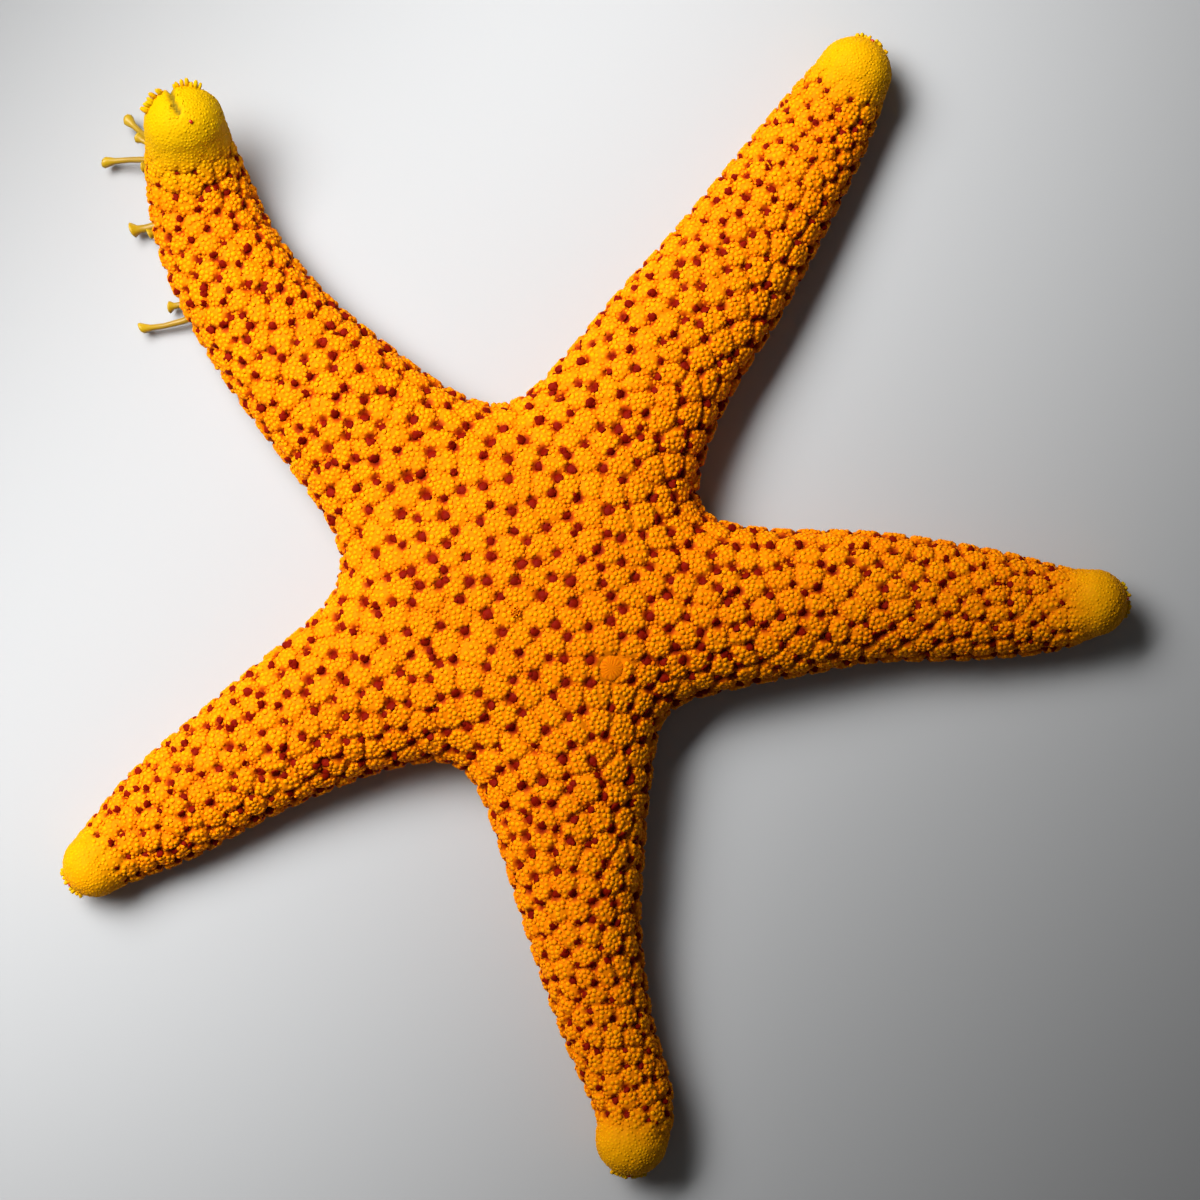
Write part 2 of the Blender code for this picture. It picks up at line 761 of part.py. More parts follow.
def name_parts(body):
    """Splits the parted body into its nodes, named by where each part lies."""
    nodes = {}
    for vertices, faces in loose_parts(body.data):
        middle = np.mean([tuple(v) for v in vertices], axis=0)[None]
        if np.linalg.norm(middle[0, :2] - np.array(DISC_CENTRE)) < DISC_NODE_REACH:
            name = "disc"
        else:
            _, own, to_tip, _ = arm_shares(middle)
            arm_name = list(TRACED)[own[0]]
            arm = TRACED[arm_name]
            run = arm.reach - to_tip[0]
            _, middle_cut, tip_cut = cut_runs(arm)
            length = "inner" if run < middle_cut else "outer" if run < tip_cut else "tip"
            name = f"{arm_name}_{length}"
        if name not in nodes or len(faces) > len(nodes[name][1]):
            nodes[name] = (vertices, faces)
    bpy.data.objects.remove(body)
    return {name: mesh_object(name, *part) for name, part in sorted(nodes.items())}


def lathe(name, place, rings, sides):
    """A closed turned form. rings gives radius and height pairs along the place's own Z."""
    vertices, faces = [], []
    for radius, height in rings:
        for k in range(sides):
            angle = 2 * math.pi * (k + 0.5) / sides
            vertices.append(place @ Vector((radius * math.cos(angle), radius * math.sin(angle), height)))
    for ring in range(len(rings) - 1):
        for k in range(sides):
            after = (k + 1) % sides
            low, high = ring * sides, (ring + 1) * sides
            faces.append([low + k, low + after, high + after, high + k])
    faces.append(list(range(sides))[::-1])
    faces.append([(len(rings) - 1) * sides + k for k in range(sides)])
    return closed_object(name, vertices, faces)


def tube_foot(name, arm, run, side):
    """A soft three-sided stalk from the groove's roof, ending in a six-sided sucker over the floor."""
    roof = along_arm(arm, run, GROOVE_DEPTH, GROOVE_DEPTH_TIP)
    offset = side * 0.5 * along_arm(arm, run, GROOVE_HALF, GROOVE_HALF_TIP)
    slim = along_arm(arm, run, 1.0, 0.72)
    at, forward, left, up = arm_frame(arm, run)
    place = Matrix.Translation(at + left * offset) @ Matrix((forward, left, up)).transposed().to_4x4()
    base = FOOT_CLEARANCE
    rings = [
        (6, FOOT_SUCKER * slim, base),
        (3, FOOT_NECK * slim, base + 0.55 * MM * slim),
        (3, 1.1 * FOOT_NECK * slim, roof + 0.7 * MM),
    ]
    vertices = []
    for sides, radius, height in rings:
        for k in range(sides):
            angle = 2 * math.pi * k / sides
            vertices.append(place @ Vector((radius * math.cos(angle), radius * math.sin(angle), height)))
    faces = [[0, 1, 2, 3, 4, 5], [9, 10, 11]]
    for k in range(3):
        rim, between, after = 2 * k, 2 * k + 1, (2 * k + 2) % 6
        neck, beside = 6 + k, 6 + (k + 1) % 3
        faces += [[rim, between, neck], [between, beside, neck], [between, after, beside]]
        faces.append([neck, beside, beside + 3, neck + 3])
    return closed_object(name, vertices, faces)


def furrow_spine(name, arm, run, side):
    """A blunt peg on the groove's edge, leaning in over the groove."""
    edge = along_arm(arm, run, GROOVE_HALF, GROOVE_HALF_TIP)
    at, _, left, up = arm_frame(arm, run)
    inward = left * -side
    axis = (up * -0.8 + inward * 0.6).normalized()
    root = at + left * (side * (edge + SPINE_FROM_EDGE)) + up * (TROUGH_DEPTH + SPINE_INTO_FLESH)
    turn = axis.to_track_quat("Z", "Y").to_matrix().to_4x4()
    rings = [(SPINE_RADIUS, 0), (0.6 * SPINE_RADIUS, SPINE_LENGTH)]
    return lathe(name, Matrix.Translation(root) @ turn, rings, 3)


def under_pieces(arm_name, arm, low, high):
    """Tube feet and furrow spines between two runs, clear of the cuts at both."""
    pieces = []
    low, high = low + CLEAR_OF_CUT, high - CLEAR_OF_CUT
    feet_end = arm.reach - LAST_FOOT
    for side in (-1, 1):
        first = FIRST_FOOT + (0.5 + side * 0.5) * 0.5 * FOOT_PITCH
        for k, run in enumerate(np.arange(first, feet_end, FOOT_PITCH)):
            if low < run < high:
                pieces.append(tube_foot(f"{arm_name}_foot_{side}_{k}", arm, run, side))
        for k, run in enumerate(np.arange(FIRST_SPINE, feet_end + 2 * MM, SPINE_PITCH)):
            if low < run < high:
                pieces.append(furrow_spine(f"{arm_name}_spine_{side}_{k}", arm, run, side))
    return pieces


def add_under_pieces(nodes):
    """Fuses the feet and spines into the node that each grows from.

    The exact solver leaves open edges where a foot meets the slivers beside a cut, so these unions
    take the manifold one.
    """
    disc_pieces = []
    for arm_name, arm in TRACED.items():
        root, middle, tip = cut_runs(arm)
        disc_pieces += under_pieces(arm_name, arm, 0, root)
        for length, low, high in (("inner", root, middle), ("outer", middle, tip)):
            name = f"{arm_name}_{length}"
            pieces = under_pieces(arm_name, arm, low, high)
            boolean_with(nodes[name], pieces, "UNION", "MANIFOLD")
            nodes[name] = keep_largest(nodes[name])
    boolean_with(nodes["disc"], disc_pieces, "UNION", "MANIFOLD")
    nodes["disc"] = keep_largest(nodes["disc"])


def jaw_angles():
    middle = Vector(DISC_CENTRE)
    return [math.atan2(*reversed(corner - middle)) for corner in root_corners()]


def jaw_outline(angle, grow):
    """Plan points of a jaw, grown outward from its middle by grow."""
    turn = Matrix.Rotation(angle, 2)
    centre = Vector((JAW_MIDDLE, 0))
    points = []
    for along, across in JAW_OUTLINE:
        point = Vector((along * MM, across * MM))
        point += (point - centre).normalized() * grow
        points.append(turn @ point + Vector(DISC_CENTRE))
    return [(p.x, p.y) for p in points]


def jaw_pocket(name, angle):
    return prism(name, jaw_outline(angle, CUT_WIDTH), -BELOW_BODY, JAW_HEIGHT + CUT_WIDTH)


def jaw(name, angle):
    """A wedge-shaped mouth plate with blunt spines that lean in under it towards the mouth."""
    made = prism(name, jaw_outline(angle, 0), JAW_UNDER, JAW_HEIGHT)
    spin = Matrix.Translation((*DISC_CENTRE, 0)) @ Matrix.Rotation(angle, 4, "Z")
    spines = []
    for side in (-1, 1):
        for k in range(JAW_SPINES):
            lean = Vector((-0.6, 0.06 * side, -0.8)).to_track_quat("Z", "Y").to_matrix().to_4x4()
            root = Vector((3.0 + 1.1 * k, side * (0.18 + 0.28 * k), 0.9)) * MM
            rings = [(SPINE_RADIUS, 0), (0.6 * SPINE_RADIUS, SPINE_LENGTH)]
            place = spin @ Matrix.Translation(root) @ lean
            spines.append(lathe(f"{name}_spine_{side}_{k}", place, rings, 3))
    boolean_with(made, spines, "UNION", "EXACT")
    return keep_largest(made)


def sieve_plate(top):
    """The madreporite: a low button with ridges that run out from its middle."""
    plate = SIEVE_PLATE
    x, y = DISC_CENTRE[0] + plate.x, DISC_CENTRE[1] + plate.y
    sides = 2 * plate.lobes
    vertices, faces = [], []
    rings = [(1.0, -plate.foot), (1.0, 0.0), (0.86, 0.26 * MM), (0.45, 0.42 * MM)]
    for ring, (share, height) in enumerate(rings):
        for k in range(sides):
            lobe = 0.07 * (1 if k % 2 else -1) * (ring > 0)
            angle = 2 * math.pi * k / sides
            radius = plate.radius * (share + lobe * (share > 0.6) - 0.07 * (ring > 0))
            rise = height + (0.09 * MM * (1 if k % 2 else -1) if ring in (2, 3) else 0)
            vertices.append((x + radius * math.cos(angle), y + radius * math.sin(angle), top + rise))
    vertices.append((x, y, top + 0.40 * MM))
    for ring in range(len(rings) - 1):
        for k in range(sides):
            after = (k + 1) % sides
            low, high = ring * sides, (ring + 1) * sides
            faces.append([low + k, low + after, high + after, high + k])
    last = (len(rings) - 1) * sides
    faces += [[last + k, last + (k + 1) % sides, len(vertices) - 1] for k in range(sides)]
    faces.append(list(range(sides))[::-1])
    return mesh_object("madreporite", vertices, faces)


def sieve_socket(top):
    plate = SIEVE_PLATE
    x, y = DISC_CENTRE[0] + plate.x, DISC_CENTRE[1] + plate.y
    radius = plate.radius + CUT_WIDTH
    place = Matrix.Translation((x, y, top - plate.foot - CUT_WIDTH))
    return lathe("sieve_socket", place, [(radius, 0), (radius, 6 * MM)], 16)


def top_of_body(x, y):
    """Height of the body's crown over a plan point."""
    return float(settle([(x, y, DISC_HEIGHT)])[0, 2])


def mouth_pit():
    place = Matrix.Translation((*DISC_CENTRE, -1.5 * MM))
    rings = [
        (MOUTH_RADIUS, 0),
        (MOUTH_RADIUS, 1.5 * MM + MOUTH_RIM),
        (0.7 * MOUTH_RADIUS, 1.5 * MM + MOUTH_DEPTH),
    ]
    return lathe("mouth_pit", place, rings, 15)


def build():
    clear_scene()
    body = mosaic(*fine_sheet())
    sieve_top = top_of_body(DISC_CENTRE[0] + SIEVE_PLATE.x, DISC_CENTRE[1] + SIEVE_PLATE.y)
    cutters = [mouth_pit(), sieve_socket(sieve_top)]
    cutters += [groove_cutter(f"{name}_groove", arm) for name, arm in TRACED.items()]
    cutters += [jaw_pocket(f"jaw_pocket_{k}", angle) for k, angle in enumerate(jaw_angles())]
    boolean_with(body, cutters + part_cuts(), "DIFFERENCE", "EXACT")
    nodes = name_parts(body)
    add_under_pieces(nodes)
    for k, angle in enumerate(jaw_angles()):
        nodes[f"mouth_plate_{k + 1}"] = jaw(f"mouth_plate_{k + 1}", angle)
    nodes["madreporite"] = sieve_plate(sieve_top)
    finish(nodes)


def finish(nodes):
    """Gives each node its material and soft shading."""
    skin = material("granular skin", ORANGE, 0.55)
    tips = material("smooth arm tip", YELLOW, 0.5)
    mouth = material("mouth plate", PALE_ORANGE, 0.5)
    sieve = material("sieve plate", RED_ORANGE, 0.6)
    for name, node in nodes.items():
        chosen = skin
        if name.endswith("_tip"):
            chosen = tips
        elif name.startswith("mouth_plate"):
            chosen = mouth
        elif name == "madreporite":
            chosen = sieve
        node.data.materials.clear()
        node.data.materials.append(chosen)
        node.data.shade_smooth()
        node.data.set_sharp_from_angle(angle=math.radians(50))


TRACED = {name: trace_arm(arm) for name, arm in ARMS.items()}
build()
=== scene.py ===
"""Dresses the many-pored sea star: granular orange skin with dark red pores, fine-grained yellow arm
tips, tube feet and furrow spines below, sieve plate and vent on top, and the light and camera.

The skin follows the same body form as the solids and lies a coat's depth inside it. The coat is a
layer of small beads that stand on domed plates and ring every pore. Metres, +Z up.
"""

import math
from types import SimpleNamespace

import bpy
import numpy as np
from mathutils import Matrix, Vector
from mathutils.bvhtree import BVHTree
from mathutils.kdtree import KDTree


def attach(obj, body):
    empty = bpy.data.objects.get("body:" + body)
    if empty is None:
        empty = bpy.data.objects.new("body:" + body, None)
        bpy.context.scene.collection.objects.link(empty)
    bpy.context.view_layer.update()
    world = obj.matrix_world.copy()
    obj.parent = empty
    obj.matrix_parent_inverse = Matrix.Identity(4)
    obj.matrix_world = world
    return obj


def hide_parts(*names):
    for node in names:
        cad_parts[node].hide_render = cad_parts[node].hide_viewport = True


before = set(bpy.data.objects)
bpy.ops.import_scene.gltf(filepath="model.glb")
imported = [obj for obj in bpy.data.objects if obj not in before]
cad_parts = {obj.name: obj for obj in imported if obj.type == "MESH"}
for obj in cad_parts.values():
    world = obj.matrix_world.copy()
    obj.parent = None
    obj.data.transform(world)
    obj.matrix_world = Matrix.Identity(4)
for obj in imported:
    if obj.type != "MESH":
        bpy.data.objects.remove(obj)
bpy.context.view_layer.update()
bpy.ops.object.select_all(action="DESELECT")

MM = 0.001

# The body's form, as in the solids: middle of the disc, then each arm's middle line from there to the
# middle of its round tip, as x, y and half width in mm, with the start and end of its upward curl.
DISC_CENTRE = np.array([-7.42, 0.84]) * MM
# Each arm's yellow is the share of yellow at its tip: the tips' own colour, and partly painted light, as it
# was raised on the shaded tips of arm_3 and arm_4 to brighten them.
ARMS = {
    "arm_1": SimpleNamespace(
        line=[
            (0, 0, 9.6),
            (-9.5, 10.3, 9.9),
            (-18.6, 19.2, 8.6),
            (-26.8, 27.8, 7.2),
            (-32.8, 36.6, 6.3),
            (-35.6, 44.6, 5.6),
            (-36.8, 52.7, 4.4),
        ],
        curl_from=0.76,
        curl_to=math.radians(52),
        smooth=5.4 * MM,
        fade=16.0 * MM,
        yellow=0.85,
    ),
    "arm_2": SimpleNamespace(
        line=[
            (0, 0, 9.4),
            (6.9, 13.1, 10.0),
            (14.1, 25.2, 8.4),
            (21.5, 35.2, 7.3),
            (28.3, 45.4, 6.0),
            (33.1, 53.0, 4.9),
            (35.6, 57.4, 4.15),
        ],
        curl_from=0.86,
        curl_to=math.radians(18),
        smooth=3.4 * MM,
        fade=10.0 * MM,
        yellow=0.64,
    ),
    "arm_3": SimpleNamespace(
        line=[
            (0, 0, 9.2),
            (14.5, -1.0, 9.4),
            (26.0, -0.6, 8.1),
            (36.9, 0.2, 7.0),
            (47.7, -0.4, 6.1),
            (56.4, -0.9, 4.8),
            (61.9, -0.3, 3.7),
        ],
        curl_from=0.86,
        curl_to=math.radians(18),
        smooth=3.7 * MM,
        fade=9.5 * MM,
        yellow=0.5,
    ),
    "arm_4": SimpleNamespace(
        line=[
            (0, 0, 9.2),
            (3.4, -14.2, 9.7),
            (4.8, -25.5, 7.9),
            (6.1, -35.5, 6.1),
            (8.5, -45.8, 4.9),
            (11.4, -54.4, 4.3),
            (11.2, -59.0, 4.0),
        ],
        curl_from=0.88,
        curl_to=math.radians(12),
        smooth=3.2 * MM,
        fade=9.5 * MM,
        yellow=0.5,
    ),
    "arm_5": SimpleNamespace(
        line=[
            (0, 0, 9.3),
            (-12.5, -6.8, 9.7),
            (-22.2, -12.0, 8.3),
            (-30.7, -17.2, 6.9),
            (-38.7, -22.7, 5.8),
            (-44.4, -26.8, 4.3),
            (-47.3, -29.1, 3.6),
        ],
        curl_from=0.86,
        curl_to=math.radians(16),
        smooth=2.4 * MM,
        fade=9.5 * MM,
        yellow=0.44,
    ),
}
DISC_MIDDLE = np.array([-1.7, 1.9]) * MM
DISC_RADIUS = 15.6 * MM
DISC_HALF_WIDTH = 9.5 * MM
BLEND = 2.5 * MM
DISC_HEIGHT = 12.0 * MM
ROOT_HEIGHT = 11.6 * MM
TIP_HEIGHT_PER_WIDTH = 1.55
WIDEST_AT = 0.40
TOP_ROUNDNESS = 2.15
UNDER_ROUNDNESS = 3.4
FLAT_SINK = 0.45 * MM
ROOT_CUT = 17.6 * MM
TIP_CUT = 5.2 * MM

# The skin sheet and the plates that stand out of it. A pair is for the disc and for the arm tips.
SEED = 7
SKIN_VOXEL = 0.385 * MM
SKIN_FLOOR = 0.2 * MM
COAT_DEPTH = 0.2 * MM
PLATE_PITCH = (2.75 * MM, 1.8 * MM)
MARGIN_PITCH = (3.3 * MM, 2.1 * MM)
MARGIN_LEVEL = 0.40
MARGIN_FREEDOM = 0.08
UNDER_PITCH = 2.3 * MM
UNDER_EDGE = 1.35
UNDER_BAND = 0.26
UNDER_RELIEF = 0.25
FLAT_BELOW = 0.8 * MM
PACKING = 0.9
CROWN_SLOPE = 0.32
PLATE_RISE = 0.17 * MM
MARGIN_RISE = 0.16 * MM
TIP_RISE = 0.07 * MM
SEAM_DROP = (0.17 * MM, 0.44 * MM)
SHALLOW_SEAMS = 0.3
TIP_FADE = 4.2 * MM
TIP_CALM = 9.0 * MM
CALM_ON_TIP = 0.8
CALM_NEAR_TIP = 0.45
GLOW_SLOPE = 0.85

# Pores between the plates. Walls, red halos, mounds and lumps are in radii of their pore.
PORE_GAP = (1.5 * MM, 1.05 * MM)
SEAM_PORE_GAP = 1.08
SEAM_CROWN = 0.12
PORE_RADIUS = (0.60 * MM, 0.34 * MM)
PORE_SIZES = (0.80, 1.12)
PORE_DEPTH = 0.17 * MM
PORE_WALL = 1.5
PORE_LEVEL = 0.22
PORE_CLEARANCE = 0.8 * MM
TWIN_SHARE = 0.06
TWIN_APART = 1.55
TWIN_SIZE = 0.8
MOUND = (1.06, 0.34)
MOUND_WIDTHS = (0.86, 1.0)
LUMP_SIZES = (0.42, 0.62)
LUMP_OFF = 0.5
LUMP_HEIGHT = 0.6
HALO_EDGE = 1.66
HALO_WIDTH = 0.58
RIM_RED = 0.75
# Painted shade: the seams between the plates are tinted red-orange, darker than the crowns.
SEAM_SHADE_RED = 0.24

# Granules over the whole skin, lower on the crowns of plates and on the tips. Their distances from a
# pore's edge and from one another are shares of their own spacing.
BEAD_PITCH = (0.53 * MM, 0.36 * MM)
BEAD_PITCH_UNDER = 0.60 * MM
BEAD_SPACINGS = (0.86, 1.16)
BEAD_PACKING = 0.86
BEAD_TRIES = 6.0
BEAD_ROUNDS = 4
BEAD_PUSH = 0.35
PUSHED_OFF_PORE = 0.50
KEPT_OFF_PORE = 0.42
KEPT_APART = 0.55
BARE_FROM = 0.3
BEAD_FILL = 0.56
BEAD_WIDTHS = (0.9, 1.08)
BEAD_HEIGHTS = (0.75, 0.95)
BEAD_SINK = 0.2
SEAM_BEADS = 0.74
LOWER_ON_CROWN = 0.34
LOWER_ON_TIP = 0.28
LOWER_NEAR_TIP = 0.1

# Underside: trough and groove along each arm, fading out short of its end, and the mouth. The skin is
# bare of granules to within an edge of the trough and of the hollow round the mouth.
TROUGH_HALF = (2.7 * MM, 1.75 * MM)
TROUGH_DEPTH = 0.75 * MM
TROUGH_LIP = 0.3 * MM
GROOVE_HALF = (1.5 * MM, 0.85 * MM)
GROOVE_DEPTH = (2.7 * MM, 1.3 * MM)
GROOVE_LIP = 0.15 * MM
GROOVE_SLOPE = 0.62
GROOVE_STOP = 0.6 * MM
GROOVE_FADE = 3.5 * MM
MOUTH_RADIUS = 3.1 * MM
MOUTH_DEPTH = 3.4 * MM
MOUTH_SLOPE = 1.3 * MM
MOUTH_DARK_EDGE = 0.5 * MM
MOUTH_DARK_SLOPE = 1.2 * MM
MOUTH_HOLLOW = 9.2 * MM
MOUTH_HOLLOW_DEPTH = 0.9 * MM
MOUTH_HOLLOW_SLOPE = 2.5 * MM
BARE_EDGE = (0.2 * MM, 0.8 * MM)
BARE_SLOPE = 0.6 * MM
UNDER_SHARE = 0.42
FLOOR_CLEARANCE = 0.05 * MM

# Spines and feet, slimmer towards the tip. Each is a length and a radius, or rings of radius and height.
SLIMMING = 0.42
SPINE_PITCH = 1.6 * MM
SPINE_RUN = (7.6 * MM, 2.2 * MM)
INNER_SPINE = (1.25 * MM, 0.25 * MM)
OUTER_SPINE = (0.86 * MM, 0.30 * MM)
SPINE_RINGS = [(1.0, 0.0), (1.0, 0.45), (0.82, 0.8), (0.45, 1.0)]
FOOT_PITCH = 1.75 * MM
FOOT_RUN = (4.6 * MM, 3.6 * MM)
FOOT_SIDES = 9
FOOT_RINGS = [(0.36, 0.0), (0.30, 0.30), (0.26, 0.60), (0.28, 0.82), (0.46, 0.93), (0.52, 0.97), (0.44, 1.0)]

# A jaw's outline in mm, along and across from the middle of the mouth, and its pegs.
JAW_OUTLINE = [(2.3, 0.0), (4.3, -0.75), (6.7, -2.05), (8.0, 0.0), (6.7, 2.05), (4.3, 0.75)]
JAW_MIDDLE = 5.2
JAW_LEVEL = 0.42 * MM
JAW_HEIGHT = 1.7 * MM
JAW_BEVEL = 0.35 * MM
PEG_RINGS = [(1.0, 0.0), (1.0, 0.5), (0.8, 0.85), (0.4, 1.0)]

# Details on top, from the middle of the disc.
SIEVE_AT = np.array([9.0, -7.3]) * MM
SIEVE_RADIUS = 1.35 * MM
SIEVE_BED = 0.1 * MM
SIEVE_LIP = 0.2 * MM
SIEVE_SLOPE = 0.4 * MM
SIEVE_FOOT = 0.02 * MM
SIEVE_RISE = 0.20 * MM
SIEVE_RIDGE = 0.022 * MM
SIEVE_RIDGES = 16
VENT_AT = np.array([-1.2, -1.4]) * MM
VENT_RADIUS = 0.75 * MM
VENT_RINGS = [(1, 0.0), (6, 0.24), (10, 0.48)]
EYESPOT = (0.26 * MM, 0.20 * MM, 0.16 * MM)
SPINELET_RINGS = [(1.0, 0.0), (1.0, 0.55), (0.85, 0.82), (0.5, 1.0)]
SPINELET = (0.21, 0.21, 0.46)
LONG_SPINELET = (0.24, 0.24, 0.85)

# On the curled tip of arm_1, from the middle of the disc: eyespot and the groove's end.
CURLED = "arm_1"
CURLED_EYE = np.array([-35.4, 50.4]) * MM
CURLED_GROOVE = np.array([[-36.7, 51.4], [-37.4, 52.6], [-38.1, 54.8]]) * MM
CURLED_FRINGE_LEVEL = 11.0 * MM
CURLED_FRINGE = np.array([[[-38.4, 53.4], [-40.4, 51.8]], [[-37.3, 54.2], [-34.6, 54.6]]]) * MM
CURLED_GROOVE_HALF = 0.3 * MM
CURLED_GROOVE_DEPTH = 0.55 * MM

# Long tube feet beside arm_1 in mm: root x and y, sucker x and y, its height, thickness and swing.
REACHING_FEET = [
    (-41.0, 51.8, -43.6, 52.2, 1.3, 1.30, 0.2),
    (-40.0, 48.2, -46.6, 47.5, 1.1, 1.25, -0.15),
    (-40.4, 50.1, -42.4, 50.1, 2.6, 1.20, 0.1),
    (-39.4, 46.8, -41.9, 46.8, 2.6, 1.25, 0.1),
    (-38.0, 41.2, -43.4, 40.0, 1.3, 1.75, 0.15),
    (-37.6, 40.6, -41.4, 39.6, 1.5, 1.30, 0.1),
    (-35.2, 32.2, -39.1, 31.7, 1.2, 1.35, -0.1),
    (-35.0, 31.0, -42.8, 29.2, 1.1, 1.25, 0.2),
]

# Colours.
ORANGE = (0.77, 0.186, 0.0004, 1.0)
BRIGHT_ORANGE = (0.84, 0.285, 0.0004, 1.0)
# Red round the pores, and painted shade in the seams between the plates.
RED_ORANGE = (0.50, 0.045, 0.0004, 1.0)
YELLOW = (0.57, 0.355, 0.0005, 1.0)
GOLD = (0.66, 0.32, 0.0005, 1.0)
DARK_RED = (0.15, 0.0038, 0.0004, 1.0)
PORE_RED = (0.20, 0.0058, 0.0004, 1.0)
PALE_ORANGE = (0.90, 0.42, 0.06, 1.0)
SIEVE_ORANGE = (0.82, 0.22, 0.0005, 1.0)
# The sieve plate's furrows, darker red as painted shade.
SIEVE_RED = (0.68, 0.12, 0.0005, 1.0)
FOOT_STALK = (0.30, 0.175, 0.008, 1.0)
FOOT_YELLOW = (0.44, 0.27, 0.004, 1.0)
MOUTH_BROWN = (0.16, 0.028, 0.004, 1.0)
OLIVE = (0.16, 0.105, 0.006, 1.0)
EYE_RED = (0.45, 0.02, 0.002, 1.0)
FLOOR_GREY = (0.41, 0.415, 0.42, 1.0)

# Scales and depths of the patterns in the looks, per metre and in metres.
CLOUD_SCALE = 130.0
CLOUD_DRIFT = 0.18
PALE_BELOW = 0.55
HIDE_GRAIN = 5200.0
SMALL_GRAIN = 3600.0
GRAIN_DEPTH = 0.03 * MM
PEBBLE_SCALE = 2200.0
PEBBLE_DEPTH = 0.1 * MM

# Camera over the disc, with the photo's framing: size of a pixel at the level of the margins.
PIXEL = 0.108 * MM
PHOTO_PIXELS = 1200
CAMERA_LEVEL = 4.0 * MM
CAMERA_RISE = 0.42
FRAME_MIDDLE = np.array([7.8, -0.1]) * MM
SENSOR = 36.0

# Light as in the photo: a low lamp at the upper left, a broad soft fill and a dim surround.
LAMPS = {
    "key light": SimpleNamespace(
        at=(-0.100, 0.078, 0.125), aim=(-0.030, 0.019, 0.005), size=(0.25, 0.09), power=0.213, beam=60
    ),
    "soft fill": SimpleNamespace(at=(0.1, -0.1, 0.9), aim=(0, 0, 0), size=(0.7, 0.7), power=0.115, beam=180),
}
SURROUND = 0.045

# The bake map: half a strip's width round an arm, a strip's ends, and half the width of a small
# form's patch.
STRIP_HALF = 0.47
STRIP_ENDS = (0.02, 0.98)
PATCH = 0.0015


def smooth_step(value):
    t = np.clip(value, 0, 1)
    return t * t * (3 - 2 * t)


def between(pair, share):
    """The value at a share of the way from the first of a pair to the second."""
    return pair[0] + (pair[1] - pair[0]) * share


def groove_fade(arm, run):
    """1 along an arm's groove, and 0 from where it stops short of the tip."""
    return smooth_step((arm.reach - GROOVE_STOP - run) / GROOVE_FADE)


def smooth_line(points, count):
    """A curve through the points, as evenly spaced samples with the distance run along it."""
    given = np.array(points, float) * MM
    ends = np.vstack([2 * given[0] - given[1], given, 2 * given[-1] - given[-2]])
    steps = np.linspace(0, 1, 40, endpoint=False)[:, None]
    spans = []
    for a, b, c, d in zip(ends, ends[1:], ends[2:], ends[3:]):
        cubic = (3 * b - a - 3 * c + d) * steps**3
        square = (2 * a - 5 * b + 4 * c - d) * steps**2
        spans.append(0.5 * (2 * b + (c - a) * steps + square + cubic))
    curve = np.vstack([*spans, given[-1:]])
    run = np.r_[0, np.cumsum(np.linalg.norm(np.diff(curve[:, :2], axis=0), axis=1))]
    even = np.linspace(0, run[-1], count)
    columns = [np.interp(even, run, curve[:, k]) for k in range(curve.shape[1])]
    return np.stack(columns, 1), even


def trace_arm(arm, count=150):
    """Samples the arm's middle line in plan, and the curve that its underside follows in height."""
    line, plan_run = smooth_line(arm.line, count)
    tangent = np.gradient(line[:, :2], axis=0)
    tangent /= np.linalg.norm(tangent, axis=1)[:, None]
    start = arm.curl_from * plan_run[-1]
    tilt = arm.curl_to * np.clip((plan_run - start) / (plan_run[-1] - start), 0, 1) ** 1.3
    step = np.r_[0, np.diff(plan_run)]
    run = np.cumsum(step / np.cos(tilt))
    return SimpleNamespace(
        xy=line[:, :2] + DISC_CENTRE,
        plan_run=plan_run,
        half_width=line[:, 2],
        tangent=tangent,
        tilt=tilt,
        ground=np.cumsum(step * np.tan(tilt)),
        run=run,
        flat_until=int(np.argmax(tilt > 0)),
        length=run[-1],
        reach=run[-1] + line[-1, 2],
        smooth=arm.smooth,
        fade=arm.fade,
        yellow=arm.yellow,
    )


TRACED = {name: trace_arm(arm) for name, arm in ARMS.items()}


def arm_height(arm, run):
    tip = TIP_HEIGHT_PER_WIDTH * arm.half_width[-1]
    share = np.clip(run / arm.length, 0, 1)
    return ROOT_HEIGHT + (tip - ROOT_HEIGHT) * share**1.15


def arm_place(arm, points):
    """Run along the arm, offset to its left and height over its underside, for each point."""
    coarse = arm.xy[::10]
    along = arm.plan_run[::10][((points[:, None, :2] - coarse[None]) ** 2).sum(2).argmin(1)]
    for _ in range(3):
        along = np.clip(along, 0, arm.plan_run[-1])
        off = [points[:, k] - np.interp(along, arm.plan_run, arm.xy[:, k]) for k in (0, 1)]
        way = [np.interp(along, arm.plan_run, arm.tangent[:, k]) for k in (0, 1)]
        ahead = off[0] * way[0] + off[1] * way[1]
        side = off[1] * way[0] - off[0] * way[1]
        along = along + ahead
    run = np.interp(along, arm.plan_run, arm.run) + np.minimum(along, 0)
    run += np.maximum(along - arm.plan_run[-1], 0)
    height = points[:, 2]
    curled = along > arm.plan_run[arm.flat_until] - 1 * MM
    if curled.any():
        run[curled], height = run_up_curl(arm, along, points[:, 2], run, curled)
    return run, side, height


def run_up_curl(arm, along, rise, run, curled):
    """Runs and heights for the points over the upturned end, measured square to its curve."""
    height = rise.copy()
    ahead_of, over, at = along[curled], rise[curled], run[curled]
    for _ in range(4):
        tilt = np.interp(at, arm.run, arm.tilt)
        past = np.maximum(at - arm.length, 0)
        gap = ahead_of - np.interp(at, arm.run, arm.plan_run) - past * np.cos(tilt)
        lift = over - np.interp(at, arm.run, arm.ground) - past * np.sin(tilt)
        at = at + gap * np.cos(tilt) + lift * np.sin(tilt)
    height[curled] = lift * np.cos(tilt) - gap * np.sin(tilt)
    return at, height


